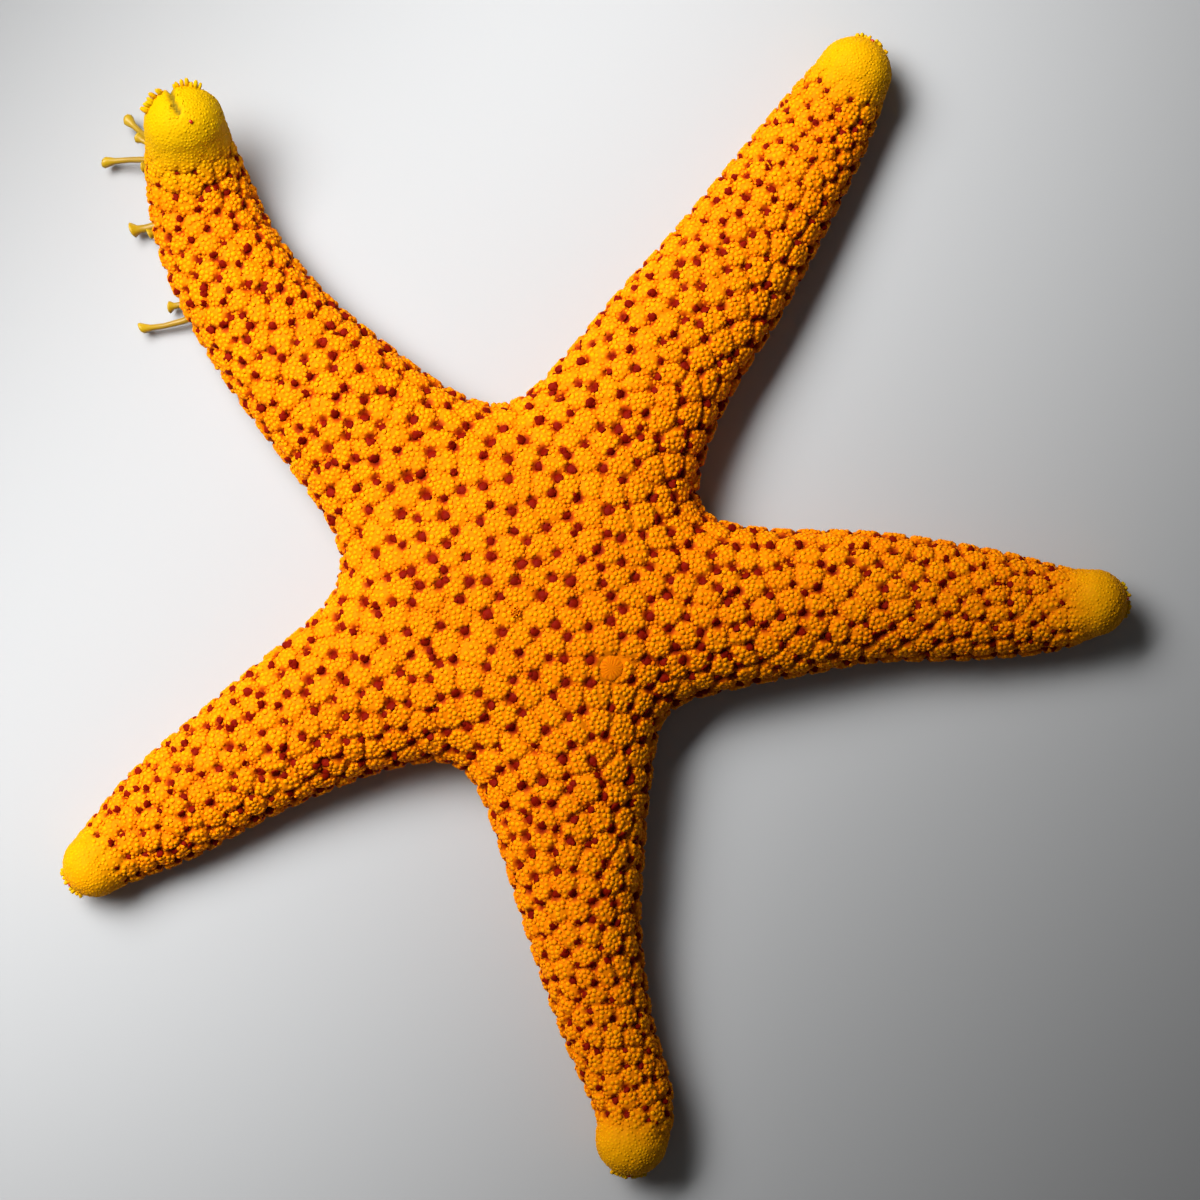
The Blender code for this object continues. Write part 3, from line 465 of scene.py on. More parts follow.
def arm_frame(arm, run):
    """Position on the arm's underside with its forward, left and up directions."""
    at = [np.interp(run, arm.run, arm.xy[:, k]) for k in (0, 1)]
    lift = np.interp(run, arm.run, arm.ground)
    tilt = np.interp(run, arm.run, arm.tilt)
    flat = Vector([np.interp(run, arm.run, arm.tangent[:, k]) for k in (0, 1)] + [0]).normalized()
    past = max(run - arm.length, 0)
    forward = flat * math.cos(tilt) + Vector((0, 0, math.sin(tilt)))
    left = Vector((-flat.y, flat.x, 0))
    return Vector((*at, lift)) + forward * past, forward, left, forward.cross(left)


def arm_point(arm, run, side, height):
    at, _, left, up = arm_frame(arm, run)
    return at + left * side + up * height


def body_value(points):
    """Below 0 inside the body, 0 on its surface and above 0 outside it."""
    margins, widths, heights, levels = [], [], [], []
    for arm in TRACED.values():
        run, side, level = arm_place(arm, points)
        beyond = np.maximum(run - arm.length, 0) + np.minimum(run, 0)
        width = np.interp(run, arm.run, arm.half_width)
        margins.append(np.hypot(side, beyond) - width)
        widths.append(width)
        heights.append(arm_height(arm, run))
        levels.append(level)
    middle = DISC_CENTRE + DISC_MIDDLE
    margins.append(np.linalg.norm(points[:, :2] - middle, axis=1) - DISC_RADIUS)
    widths.append(np.full(len(points), DISC_HALF_WIDTH))
    heights.append(np.full(len(points), DISC_HEIGHT))
    levels.append(points[:, 2])
    margins = np.stack(margins)
    closest = margins.min(0)
    weights = np.exp(-(margins - closest) / BLEND)
    total = weights.sum(0)
    width, height, level = [(weights * np.stack(part)).sum(0) / total for part in (widths, heights, levels)]
    inward = np.maximum(1 + (closest - BLEND * np.log(total)) / width, 0)
    waist = WIDEST_AT * height
    over = level > waist
    half = np.where(over, height - waist, waist + FLAT_SINK)
    power = np.where(over, TOP_ROUNDNESS, UNDER_ROUNDNESS)
    return inward**TOP_ROUNDNESS + (np.abs(level - waist) / half) ** power - 1


def settle(points, steps):
    """Moves the points onto the surface of the body, and none below the floor."""
    points = np.array(points, float)
    reach = 0.02 * MM
    for _ in range(steps):
        value = body_value(points)
        slope = np.stack([(body_value(points + reach * axis) - value) / reach for axis in np.eye(3)], 1)
        move = slope * (value / np.maximum((slope**2).sum(1), 1e-9))[:, None]
        size = np.linalg.norm(move, axis=1)
        points -= move * np.minimum(1, 1.5 * MM / np.maximum(size, 1e-12))[:, None]
    points[:, 2] = np.maximum(points[:, 2], 0)
    return points


def tree_of(points):
    finder = KDTree(len(points))
    for number, point in enumerate(points):
        finder.insert(point, number)
    finder.balance()
    return finder


def nearest_of(points, places, count):
    """Numbers and distances of the nearest places to each point, as two arrays."""
    finder = tree_of(places)
    found = [finder.find_n(point, count) for point in points]
    numbers = np.array([[near[1] for near in row] for row in found])
    gaps = np.array([[near[2] for near in row] for row in found])
    return numbers, gaps


def apply_modifiers(piece):
    bpy.context.view_layer.objects.active = piece
    for change in list(piece.modifiers):
        bpy.ops.object.modifier_apply(modifier=change.name)


def only(piece):
    bpy.ops.object.select_all(action="DESELECT")
    piece.select_set(True)
    bpy.context.view_layer.objects.active = piece


def body_blank():
    """A row of flattened balls along every arm, joined and remeshed into one closed sheet."""
    balls = []
    for arm in TRACED.values():
        for run in np.linspace(0, arm.length, 26):
            at, forward, left, up = arm_frame(arm, run)
            width = float(np.interp(run, arm.run, arm.half_width))
            half = 0.5 * float(arm_height(arm, run))
            turn = Matrix((forward, left, up)).transposed().to_euler()
            bpy.ops.mesh.primitive_ico_sphere_add(
                subdivisions=3, radius=1.0, location=at + up * half, rotation=turn, scale=(width, width, half)
            )
            balls.append(bpy.context.object)
    for ball in balls:
        ball.select_set(True)
    bpy.ops.object.join()
    skin = bpy.context.object
    bpy.ops.object.transform_apply(location=True, rotation=True, scale=True)
    skin.name = "skin"
    sheet = skin.modifiers.new("one sheet", "REMESH")
    sheet.mode = "VOXEL"
    sheet.voxel_size = SKIN_VOXEL
    sheet.use_smooth_shade = True
    apply_modifiers(skin)
    return skin


def mesh_arrays(mesh):
    """Vertices and triangles of a mesh."""
    points = np.empty(3 * len(mesh.vertices), np.float32)
    mesh.vertices.foreach_get("co", points)
    mesh.calc_loop_triangles()
    triangles = np.empty(3 * len(mesh.loop_triangles), np.int32)
    mesh.loop_triangles.foreach_get("vertices", triangles)
    return points.reshape(-1, 3).astype(float), triangles.reshape(-1, 3)


def even_out(points, triangles, rounds=3):
    """Moves every vertex halfway to the middle of its neighbours."""
    edges = np.vstack([triangles[:, [0, 1]], triangles[:, [1, 2]], triangles[:, [2, 0]]])
    count = np.bincount(edges[:, 0], minlength=len(points))[:, None]
    for _ in range(rounds):
        total = [np.bincount(edges[:, 0], points[edges[:, 1], k], len(points)) for k in range(3)]
        points = 0.5 * (points + np.stack(total, 1) / count)
    return points


def vertex_normals(points, triangles):
    corners = points[triangles]
    facing = np.cross(corners[:, 1] - corners[:, 0], corners[:, 2] - corners[:, 0])
    normals = [
        sum(np.bincount(triangles[:, c], facing[:, k], len(points)) for c in range(3)) for k in range(3)
    ]
    normals = np.stack(normals, 1)
    return normals / np.maximum(np.linalg.norm(normals, axis=1), 1e-20)[:, None]


def survey(points):
    """Where each point lies on its own arm: number, run, side, level, height, share and way to the tip."""
    runs, sides, levels, margins = [], [], [], []
    for arm in TRACED.values():
        run, side, level = arm_place(arm, points)
        beyond = np.maximum(run - arm.length, 0) + np.minimum(run, 0)
        runs.append(run)
        sides.append(side)
        levels.append(level)
        margins.append(np.hypot(side, beyond) - np.interp(run, arm.run, arm.half_width))
    own = np.stack(margins).argmin(0)
    pick = (own, np.arange(len(points)))
    run, side, level = np.stack(runs)[pick], np.stack(sides)[pick], np.stack(levels)[pick]
    arms = list(TRACED.values())
    height = np.stack([arm_height(arm, run) for arm in arms])[pick]
    reach = np.array([arm.reach for arm in arms])[own]
    smooth = np.array([arm.smooth for arm in arms])[own]
    fade = np.array([arm.fade for arm in arms])[own]
    yellow = np.array([arm.yellow for arm in arms])[own]
    return SimpleNamespace(
        own=own,
        run=run,
        side=side,
        level=level,
        height=height,
        reach=reach,
        share=np.clip(run / reach, 0, 1),
        to_tip=reach - run,
        tip=smooth_step(1 + (smooth - (reach - run)) / TIP_FADE),
        near_tip=smooth_step(1 + (smooth - (reach - run)) / TIP_CALM),
        # glow: the tips' yellow, partly painted light on the shaded tips.
        glow=yellow * smooth_step((fade - (reach - run)) / (GLOW_SLOPE * fade)),
        low=smooth_step(UNDER_EDGE - level / (UNDER_BAND * height)),
        runs=runs,
        sides=sides,
    )


def plate_pitches(places):
    """The spacing that plates have at each place: fine at the arm tips, finer again underneath."""
    where = survey(places)
    pitch = between(PLATE_PITCH, where.share**1.6)
    return between((pitch, UNDER_PITCH * (1 - 0.25 * where.share)), where.low)


def margin_row():
    """Plate centres along both margins of every arm, from its tip to the notches."""
    row = []
    for number, arm in enumerate(TRACED.values()):
        for side in (-1, 1):
            run = arm.reach - MARGIN_PITCH[1]
            while run > 0:
                width = float(np.interp(run, arm.run, arm.half_width))
                height = MARGIN_LEVEL * float(arm_height(arm, run))
                found = settle([arm_point(arm, run, side * width, height)], 4)
                where = survey(found)
                if where.own[0] != number:
                    break
                row.append(found[0])
                run -= between(MARGIN_PITCH, float(where.share[0]) ** 1.5)
    return np.array(row)


def spread(candidates, gaps, random, first=()):
    """Numbers of the candidates that keep their gap from one another and from the first places."""
    finder = tree_of(candidates)
    free = np.ones(len(candidates), bool)
    for place, gap in first:
        for _, number, _ in finder.find_range(place, gap):
            free[number] = False
    chosen = []
    for number in random.permutation(len(candidates)):
        if free[number]:
            chosen.append(number)
            for _, other, _ in finder.find_range(candidates[number], gaps[number]):
                free[other] = False
    return np.array(chosen)


def lay_plates(sheet, random):
    """Centres of all the plates, evened out over the skin, and how many of them are marginal."""
    row = margin_row()
    pitches = plate_pitches(sheet)
    row_gaps = PACKING * plate_pitches(row)
    chosen = spread(sheet, PACKING * pitches, random, zip(row, row_gaps))
    centres = np.vstack([row, sheet[chosen]])
    some = sheet[::5]
    freedom = np.where(np.arange(len(centres)) < len(row), MARGIN_FREEDOM, 1.0)[:, None]
    for _ in range(5):
        owners = nearest_of(some, centres, 1)[0][:, 0]
        count = np.bincount(owners, minlength=len(centres))
        total = np.stack([np.bincount(owners, some[:, k], len(centres)) for k in range(3)], 1)
        middles = np.where(count[:, None] > 0, total / np.maximum(count, 1)[:, None], centres)
        centres = centres + freedom * (middles - centres)
    return settle(centres, 2), len(row)


def plate_crowns(points, centres):
    """The plate that each point lies on, and its crown: 0 in the seams, 1 on top of a plate."""
    numbers, gaps = nearest_of(points, centres, 2)
    crown = np.clip((gaps[:, 1] - gaps[:, 0]) / (CROWN_SLOPE * (gaps[:, 1] + gaps[:, 0])), 0, 1)
    return numbers[:, 0], 1 - (1 - crown) ** 2


def pore_gaps(where):
    return between(PORE_GAP, where.share**1.4)


def open_pores(points, triangles, owners, crown, random):
    """Places and radii of the pores: at corners of three plates, then in the seams, some of them twins."""
    labels = owners[triangles]
    meets = (labels[:, 0] != labels[:, 1]) & (labels[:, 1] != labels[:, 2]) & (labels[:, 0] != labels[:, 2])
    corners = points[triangles[meets]].mean(1)
    corners = corners[pore_ground(corners)]
    corners = corners[spread(corners, pore_gaps(survey(corners)), random)]
    seams = points[crown < SEAM_CROWN]
    seams = seams[pore_ground(seams)]
    taken = zip(corners, SEAM_PORE_GAP * pore_gaps(survey(corners)))
    others = seams[spread(seams, SEAM_PORE_GAP * pore_gaps(survey(seams)), random, taken)]
    pores = np.vstack([corners, others])
    where = survey(pores)
    radii = between(PORE_RADIUS, where.share**1.3)
    radii *= (1 - 1.2 * where.tip) * random.uniform(*PORE_SIZES, len(pores))
    twins = random.random(len(pores)) < TWIN_SHARE
    angle = random.uniform(0, 2 * math.pi, twins.sum())
    apart = (TWIN_APART * radii[twins])[:, None]
    beside = pores[twins] + apart * np.stack([np.cos(angle), np.sin(angle), np.zeros(len(angle))], 1)
    pores = np.vstack([pores, settle(beside, 3)])
    return pores, np.r_[radii, TWIN_SIZE * radii[twins]]


def off_centre(points, place=0.0):
    """How far each point lies in plan from a place that is given from the middle of the disc."""
    return np.linalg.norm(points[:, :2] - DISC_CENTRE - place, axis=1)


def pore_ground(places):
    """Whether a pore may open there: above the margins, off the tips, and clear of sieve plate and vent."""
    where = survey(places)
    clear = (where.level > PORE_LEVEL * where.height) & (where.tip < 0.3)
    for centre, radius in ((SIEVE_AT, SIEVE_RADIUS), (VENT_AT, VENT_RADIUS)):
        clear &= off_centre(places, centre) > radius + PORE_CLEARANCE
    return clear


def pore_halo_and_seam_shade(near, crown, tip):
    """How red the hide is: most round a pore, less in the seams, where the red is painted shade, and nothing
    on a tip.

    near is the distance to the closest pore in its own radii.
    """
    round_pore = smooth_step((HALO_EDGE - near) / HALO_WIDTH)
    return np.clip(RIM_RED * round_pore + SEAM_SHADE_RED * (1 - crown), 0, 1) * (1 - tip)


def groove_end(points):
    """How near each point is to the end of the groove that shows on the curled arm's tip, 1 on it."""
    gap = np.full(len(points), np.inf)
    for start, end in zip(CURLED_GROOVE, CURLED_GROOVE[1:]):
        way = end - start
        share = np.clip((points[:, :2] - DISC_CENTRE - start) @ way / (way @ way), 0, 1)
        foot = DISC_CENTRE + start + share[:, None] * way
        gap = np.minimum(gap, np.linalg.norm(points[:, :2] - foot, axis=1))
    return smooth_step(1.5 - gap / CURLED_GROOVE_HALF) * (points[:, 2] > 2 * MM)


def furrow(where, points):
    """How far the underside is raised by the grooves and the mouth, and how deep in them it is."""
    lift = np.zeros(len(points))
    inside = np.zeros(len(points))
    for arm, run, side in zip(TRACED.values(), where.runs, where.sides):
        share = np.clip(run / arm.reach, 0, 1)
        on = (run > 0) & (where.level < UNDER_SHARE * where.height)
        fade = groove_fade(arm, run)
        trough = between(TROUGH_HALF, share)
        groove = between(GROOVE_HALF, share)
        depth = between(GROOVE_DEPTH, share)
        off = np.abs(side)
        shallow = TROUGH_DEPTH * smooth_step((trough + TROUGH_LIP - off) / (trough - groove))
        deep = (depth - TROUGH_DEPTH) * smooth_step((groove + GROOVE_LIP - off) / (GROOVE_SLOPE * groove))
        lift = np.maximum(lift, on * fade * (shallow + deep))
        inside = np.maximum(inside, on * fade * smooth_step((trough - BARE_EDGE[0] - off) / BARE_SLOPE))
    out = off_centre(points)
    below = points[:, 2] < UNDER_SHARE * DISC_HEIGHT
    hollow = MOUTH_HOLLOW_DEPTH * smooth_step((MOUTH_HOLLOW - out) / MOUTH_HOLLOW_SLOPE)
    opening = MOUTH_DEPTH * smooth_step((MOUTH_RADIUS - out) / MOUTH_SLOPE)
    lift = np.maximum(lift, below * np.maximum(hollow, opening))
    inside = np.maximum(inside, below * smooth_step((MOUTH_HOLLOW - BARE_EDGE[1] - out) / BARE_SLOPE))
    return lift, inside


def add_values(mesh, **values):
    """Stores one number for each vertex under each name."""
    for name, numbers in values.items():
        layer = mesh.attributes.new(name, "FLOAT", "POINT")
        layer.data.foreach_set("value", np.ascontiguousarray(numbers, np.float32))


def make_skin(random):
    """The one skin of the whole body: domed plates, sunken pores, grooves and the mouth."""
    skin = body_blank()
    points, triangles = mesh_arrays(skin.data)
    points = settle(points, 3)
    points = settle(even_out(points, triangles), 2)
    where = survey(points)
    normals = vertex_normals(points, triangles)
    centres, marginal = lay_plates(points, random)
    owners, crown = plate_crowns(points, centres)
    pores, radii = open_pores(points, triangles, owners, crown, random)
    nearest, gap = nearest_of(points, pores, 1)
    near = gap[:, 0] / radii[nearest[:, 0]]
    pore = smooth_step(PORE_WALL - near)
    lift, inside = furrow(where, points)

    calm = (1 - CALM_ON_TIP * where.tip) * (1 - CALM_NEAR_TIP * where.near_tip)
    drop = between(SEAM_DROP, smooth_step(where.run / ROOT_CUT - SHALLOW_SEAMS))
    rise = PLATE_RISE * crown - drop * (1 - crown)
    rise += MARGIN_RISE * crown * (owners < marginal)
    flat = smooth_step(points[:, 2] / FLAT_BELOW)
    rise = rise * calm * between((UNDER_RELIEF, 1.0), flat) + TIP_RISE * where.tip
    on_top = points[:, 2] > 0.5 * DISC_HEIGHT
    beside = off_centre(points, SIEVE_AT) - SIEVE_RADIUS
    sieve = on_top * smooth_step((SIEVE_LIP - beside) / SIEVE_SLOPE)
    rise = rise * (1 - sieve) - SIEVE_BED * sieve
    line = groove_end(points)
    dark = (MOUTH_RADIUS - MOUTH_DARK_EDGE - off_centre(points)) / MOUTH_DARK_SLOPE
    mouth = ~on_top * smooth_step(dark)
    shift = normals * (rise - COAT_DEPTH - PORE_DEPTH * pore - CURLED_GROOVE_DEPTH * line)[:, None]
    ups = np.array([[0.0, 0.0, 1.0]] * len(points))
    for number, arm in enumerate(TRACED.values()):
        mine = (where.own == number) & (where.run > arm.run[arm.flat_until])
        tilt = np.interp(where.run[mine], arm.run, arm.tilt)
        way = np.stack([np.interp(where.run[mine], arm.run, arm.tangent[:, k]) for k in (0, 1)], 1)
        ups[mine] = np.column_stack([-way * np.sin(tilt)[:, None], np.cos(tilt)])
    points = points + shift + ups * lift[:, None]
    points[:, 2] = np.maximum(points[:, 2], SKIN_FLOOR)
    skin.data.vertices.foreach_set("co", points.astype(np.float32).ravel())
    skin.data.update()
    add_values(
        skin.data,
        tip=where.glow,
        pore=pore,
        below=where.low * (1 - where.tip),
        furrow=inside,
        line=line,
        mouth=mouth,
        # rim: red round each pore, and painted shade in the seams between the plates.
        rim=pore_halo_and_seam_shade(near, crown, where.tip),
    )
    skin.data.shade_smooth()
    return SimpleNamespace(
        piece=skin,
        points=points,
        triangles=triangles,
        normals=vertex_normals(points, triangles),
        crown=crown,
        pores=pores,
        radii=radii,
        inside=np.maximum(inside, line),
        sieve=sieve,
        surface=BVHTree.FromPolygons(points.tolist(), triangles.tolist()),
    )


def normal_at(skin, face):
    """The mean of the skin's normals at the corners of one of its triangles."""
    return Vector(skin.normals[skin.triangles[face]].mean(0))


def land_from_above(skin, place):
    """Where a place given from the middle of the disc meets the skin, and in which triangle."""
    above = Vector((*(DISC_CENTRE + place), 2 * DISC_HEIGHT))
    at, _, face, _ = skin.surface.ray_cast(above, Vector((0, 0, -1)))
    return at, face


def turned(name, rings, sides):
    """A closed turned form: a disc extruded and resized ring by ring. rings are radius and height."""
    radius, height = rings[0]
    bpy.ops.mesh.primitive_circle_add(
        vertices=sides, radius=radius, fill_type="NGON", location=(0, 0, height), enter_editmode=True
    )
    for (old, low), (new, high) in zip(rings, rings[1:]):
        bpy.ops.mesh.extrude_region_move(TRANSFORM_OT_translate={"value": (0, 0, high - low)})
        bpy.ops.transform.resize(value=(new / old, new / old, 1))
    bpy.ops.mesh.select_all(action="SELECT")
    bpy.ops.mesh.quads_convert_to_tris()
    bpy.ops.mesh.normals_make_consistent(inside=False)
    bpy.ops.object.mode_set(mode="OBJECT")
    made = bpy.context.object
    made.name = name
    bpy.ops.object.transform_apply(location=True, rotation=True, scale=True)
    return made


def pattern_of(piece):
    """Vertices and triangles of a modelled piece, which is then removed."""
    points, triangles = mesh_arrays(piece.data)
    bpy.data.objects.remove(piece)
    return points, triangles


def bead_pattern():
    """A small round bead without its underside."""
    bpy.ops.mesh.primitive_uv_sphere_add(segments=8, ring_count=4, radius=1.0, enter_editmode=True)
    bpy.ops.mesh.select_all(action="SELECT")
    bpy.ops.mesh.bisect(plane_co=(0, 0, -0.01), plane_no=(0, 0, 1), clear_inner=True, use_fill=True)
    bpy.ops.mesh.select_all(action="SELECT")
    bpy.ops.mesh.remove_doubles(threshold=0.02)
    bpy.ops.mesh.quads_convert_to_tris()
    bpy.ops.mesh.normals_make_consistent(inside=False)
    bpy.ops.object.mode_set(mode="OBJECT")
    return pattern_of(bpy.context.object)


def turns_to(normals, random, spin=True):
    """A turning matrix for each normal that stands a pattern's Z along it, spun at random."""
    helper = np.where(np.abs(normals[:, 2:]) < 0.9, [[0.0, 0.0, 1.0]], [[1.0, 0.0, 0.0]])
    across = np.cross(helper, normals)
    across /= np.linalg.norm(across, axis=1)[:, None]
    along = np.cross(normals, across)
    angle = random.uniform(0, 2 * math.pi, len(normals)) * spin
    cos, sin = np.cos(angle)[:, None], np.sin(angle)[:, None]
    return np.stack([across * cos + along * sin, along * cos - across * sin, normals], 2)


def unwrapped(places):
    """Each place on the body's own unwrap: one strip for each arm, round it and along it."""
    where = survey(places)
    angle = np.arctan2(where.side, where.level - WIDEST_AT * where.height)
    across = (where.own + 0.5 + STRIP_HALF * angle / math.pi) / len(TRACED)
    return np.stack([across, between(STRIP_ENDS, where.share)], 1)


def finish_piece(name, mesh, patch, loops):
    """Stores each corner's place on the bake map and links the mesh as a piece."""
    layer = mesh.uv_layers.new(name="OFBake")
    layer.data.foreach_set("uv", patch[loops].astype(np.float32).ravel())
    piece = bpy.data.objects.new(name, mesh)
    bpy.context.scene.collection.objects.link(piece)
    return piece


def copies(name, pattern, places, turns, sizes, **values):
    """One mesh of copies of a pattern, each with its values and its patch of the bake map."""
    corners, triangles = pattern
    count, per = len(places), len(corners)
    points = np.einsum("nij,nkj->nki", turns, corners[None] * sizes[:, None]) + places[:, None]
    faces = (triangles[None] + per * np.arange(count)[:, None, None]).reshape(-1, 3).astype(np.int32)
    mesh = bpy.data.meshes.new(name)
    mesh.vertices.add(count * per)
    mesh.vertices.foreach_set("co", points.astype(np.float32).ravel())
    mesh.loops.add(faces.size)
    mesh.loops.foreach_set("vertex_index", faces.ravel())
    mesh.polygons.add(len(faces))
    mesh.polygons.foreach_set("loop_start", np.arange(0, faces.size, 3, dtype=np.int32))
    mesh.update(calc_edges=True)
    mesh.shade_smooth()
    # Each vertex's height in its pattern, kept as painted light: the granules' look makes each bead's top
    # lighter and its foot darker.
    add_values(mesh, crest=np.tile(corners[:, 2], count))
    add_values(mesh, **{key: np.repeat(numbers, per) for key, numbers in values.items()})
    reach = np.abs(corners[:, :2]).max()
    patch = unwrapped(places)[:, None] + PATCH * corners[None, :, :2] / reach
    return finish_piece(name, mesh, patch.reshape(-1, 2), faces.ravel())


def stand_copies(name, pattern, places, ways, sizes, random):
    """Copies of a pattern that stand up along their ways, each with a tone and a turn of its own."""
    ways = np.array([tuple(way) for way in ways])
    ways /= np.linalg.norm(ways, axis=1)[:, None]
    tone = random.random(len(places))
    turns = turns_to(ways, random)
    return copies(name, pattern, np.array(places), turns, np.array(sizes), tone=tone)


def bead_places(skin, random):
    """Places and spacings of the granules: scattered over the skin, then pushed evenly apart."""
    corners = skin.points[skin.triangles]
    crossed = np.cross(corners[:, 1] - corners[:, 0], corners[:, 2] - corners[:, 0])
    area = 0.5 * np.linalg.norm(crossed, axis=1)
    closed = np.maximum(skin.inside, skin.sieve)[skin.triangles].max(1) > BARE_FROM
    chance = np.where(closed, 0, area)
    count = int(BEAD_TRIES * chance.sum() / BEAD_PITCH[0] ** 2)
    picked = random.choice(len(area), count, p=chance / chance.sum())
    shares = random.dirichlet((1, 1, 1), count)
    candidates = (corners[picked] * shares[:, :, None]).sum(1)
    crown = skin.crown[skin.triangles[picked]].mean(1)
    gaps = bead_gaps(candidates) * (SEAM_BEADS + (1 - SEAM_BEADS) * crown)
    gaps = gaps * random.uniform(*BEAD_SPACINGS, count)
    chosen = spread(candidates, BEAD_PACKING * gaps, random)
    places, gaps = candidates[chosen], gaps[chosen]
    for _ in range(BEAD_ROUNDS):
        numbers, apart = nearest_of(places, places, 8)
        offset = places[:, None] - places[numbers[:, 1:]]
        wanted = 0.5 * (gaps[:, None] + gaps[numbers[:, 1:]])
        push = np.maximum(wanted / np.maximum(apart[:, 1:], 1e-7) - 1, 0)
        places = places + BEAD_PUSH * (offset * push[:, :, None]).sum(1)
        near, gap = nearest_of(places, skin.pores, 1)
        pore = skin.pores[near[:, 0]]
        edge = skin.radii[near[:, 0]] + PUSHED_OFF_PORE * gaps
        away = np.maximum(edge / np.maximum(gap[:, 0], 1e-7) - 1, 0)[:, None]
        places = places + (places - pore) * np.minimum(away, 3)
        landed = [skin.surface.find_nearest(place) for place in places]
        places = np.array([tuple(hit[0]) for hit in landed])
        faces = np.array([hit[2] for hit in landed])
    near, gap = nearest_of(places, skin.pores, 1)
    kept = gap[:, 0] > skin.radii[near[:, 0]] + KEPT_OFF_PORE * gaps
    kept &= ~closed[faces]
    _, apart = nearest_of(places, places, 2)
    kept &= apart[:, 1] > KEPT_APART * gaps
    return places[kept], gaps[kept], faces[kept]


def bead_gaps(places):
    where = survey(places)
    gaps = between(BEAD_PITCH, np.maximum(where.tip, 0.12 * where.share))
    return gaps + (BEAD_PITCH_UNDER * (1 - 0.2 * where.share) - gaps) * where.low * (1 - where.tip)


def dress(piece, look, cad_slot, *nodes):
    """Gives a finished piece its material and its body, and hides the CAD nodes it stands for."""
    piece.data.materials.clear()
    piece.data.materials.append(look)
    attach(piece, "root")
    if nodes:
        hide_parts(*nodes)
    return piece


def add_beads(skin, looks, random):
    """The coat: beads in one piece for each arm, its tip and the disc's top and underside."""
    pattern = bead_pattern()
    places, gaps, faces = bead_places(skin, random)
    triangle = skin.triangles[faces]
    normals = skin.normals[triangle].mean(1)
    normals /= np.linalg.norm(normals, axis=1)[:, None]
    crown = skin.crown[triangle].mean(1)
    where = survey(places)
    radius = BEAD_FILL * gaps * random.uniform(*BEAD_WIDTHS, len(places)) * (0.95 + 0.09 * crown)
    tall = radius * random.uniform(*BEAD_HEIGHTS, len(places)) * (1 - LOWER_ON_CROWN * crown)
    tall *= (1 - LOWER_ON_TIP * where.tip) * (1 - LOWER_NEAR_TIP * where.near_tip)
    sizes = np.stack([radius, radius, tall], 1)
    turns = turns_to(normals, random)
    near, gap = nearest_of(places, skin.pores, 1)
    # Red round the pores, and painted shade in the seams between the plates.
    rim = pore_halo_and_seam_shade(gap[:, 0] / skin.radii[near[:, 0]], crown, where.tip)
    # Each bead's tone is partly random and partly painted light and shade: lighter on the crowns of plates,
    # darker in the seams.
    tone = np.clip(random.normal(0.5, 0.2, len(places)) + 0.6 * (crown - 0.65), 0, 1)
    sunk = places - normals * (BEAD_SINK * radius)[:, None]
    sunk[:, 2] = np.maximum(sunk[:, 2], 1.25 * tall * np.maximum(-normals[:, 2], 0))
    for name, chosen in bead_zones(where):
        piece = copies(
            name,
            pattern,
            sunk[chosen],
            turns[chosen],
            sizes[chosen],
            tone=tone[chosen],
            tip=where.glow[chosen],
            rim=rim[chosen],
            below=(where.low * (1 - where.tip))[chosen],
        )
        dress(piece, looks.granules, "arm_tip" if "_tip_" in name else "skin")
        print(name, int(chosen.sum()), "granules", len(piece.data.polygons), "triangles")


def bead_zones(where):
    """Name and choice of the granules of each piece."""
    on_disc = where.run < ROOT_CUT
    zones = [
        ("disc_granules_above", on_disc & (where.low < 0.5)),
        ("disc_granules_below", on_disc & (where.low >= 0.5)),
    ]
    for number, name in enumerate(TRACED):
        mine = (where.own == number) & ~on_disc
        at_tip = where.to_tip < TIP_CUT
        zones.append((f"{name}_granules", mine & ~at_tip))
        zones.append((f"{name}_tip_granules", mine & at_tip))
    return zones


def add_pores(skin, looks, random):
    """A low dark red mound in every pore, with one or two lumps at its side."""
    places, normals, sizes = [], [], []
    for pore, radius in zip(skin.pores, skin.radii):
        at, _, face, _ = skin.surface.find_nearest(pore)
        normal = normal_at(skin, face).normalized()
        across = normal.orthogonal()
        across.rotate(Matrix.Rotation(random.uniform(0, 2 * math.pi), 3, normal))
        places.append(at - normal * (0.02 * MM))
        normals.append(normal)
        width = MOUND[0] * radius
        sizes.append((width, width * random.uniform(*MOUND_WIDTHS), MOUND[1] * radius))
        for _ in range(random.integers(1, 3)):
            across.rotate(Matrix.Rotation(random.uniform(1.2, 2.6), 3, normal))
            size = radius * random.uniform(*LUMP_SIZES)
            places.append(at + across * (LUMP_OFF * radius))
            normals.append(normal)
            sizes.append((size, size, LUMP_HEIGHT * size))
    piece = stand_copies("papulae", bead_pattern(), places, normals, sizes, random)
    dress(piece, looks.papulae, "skin")
    print("papulae", len(skin.pores), "pores", len(piece.data.polygons), "triangles")


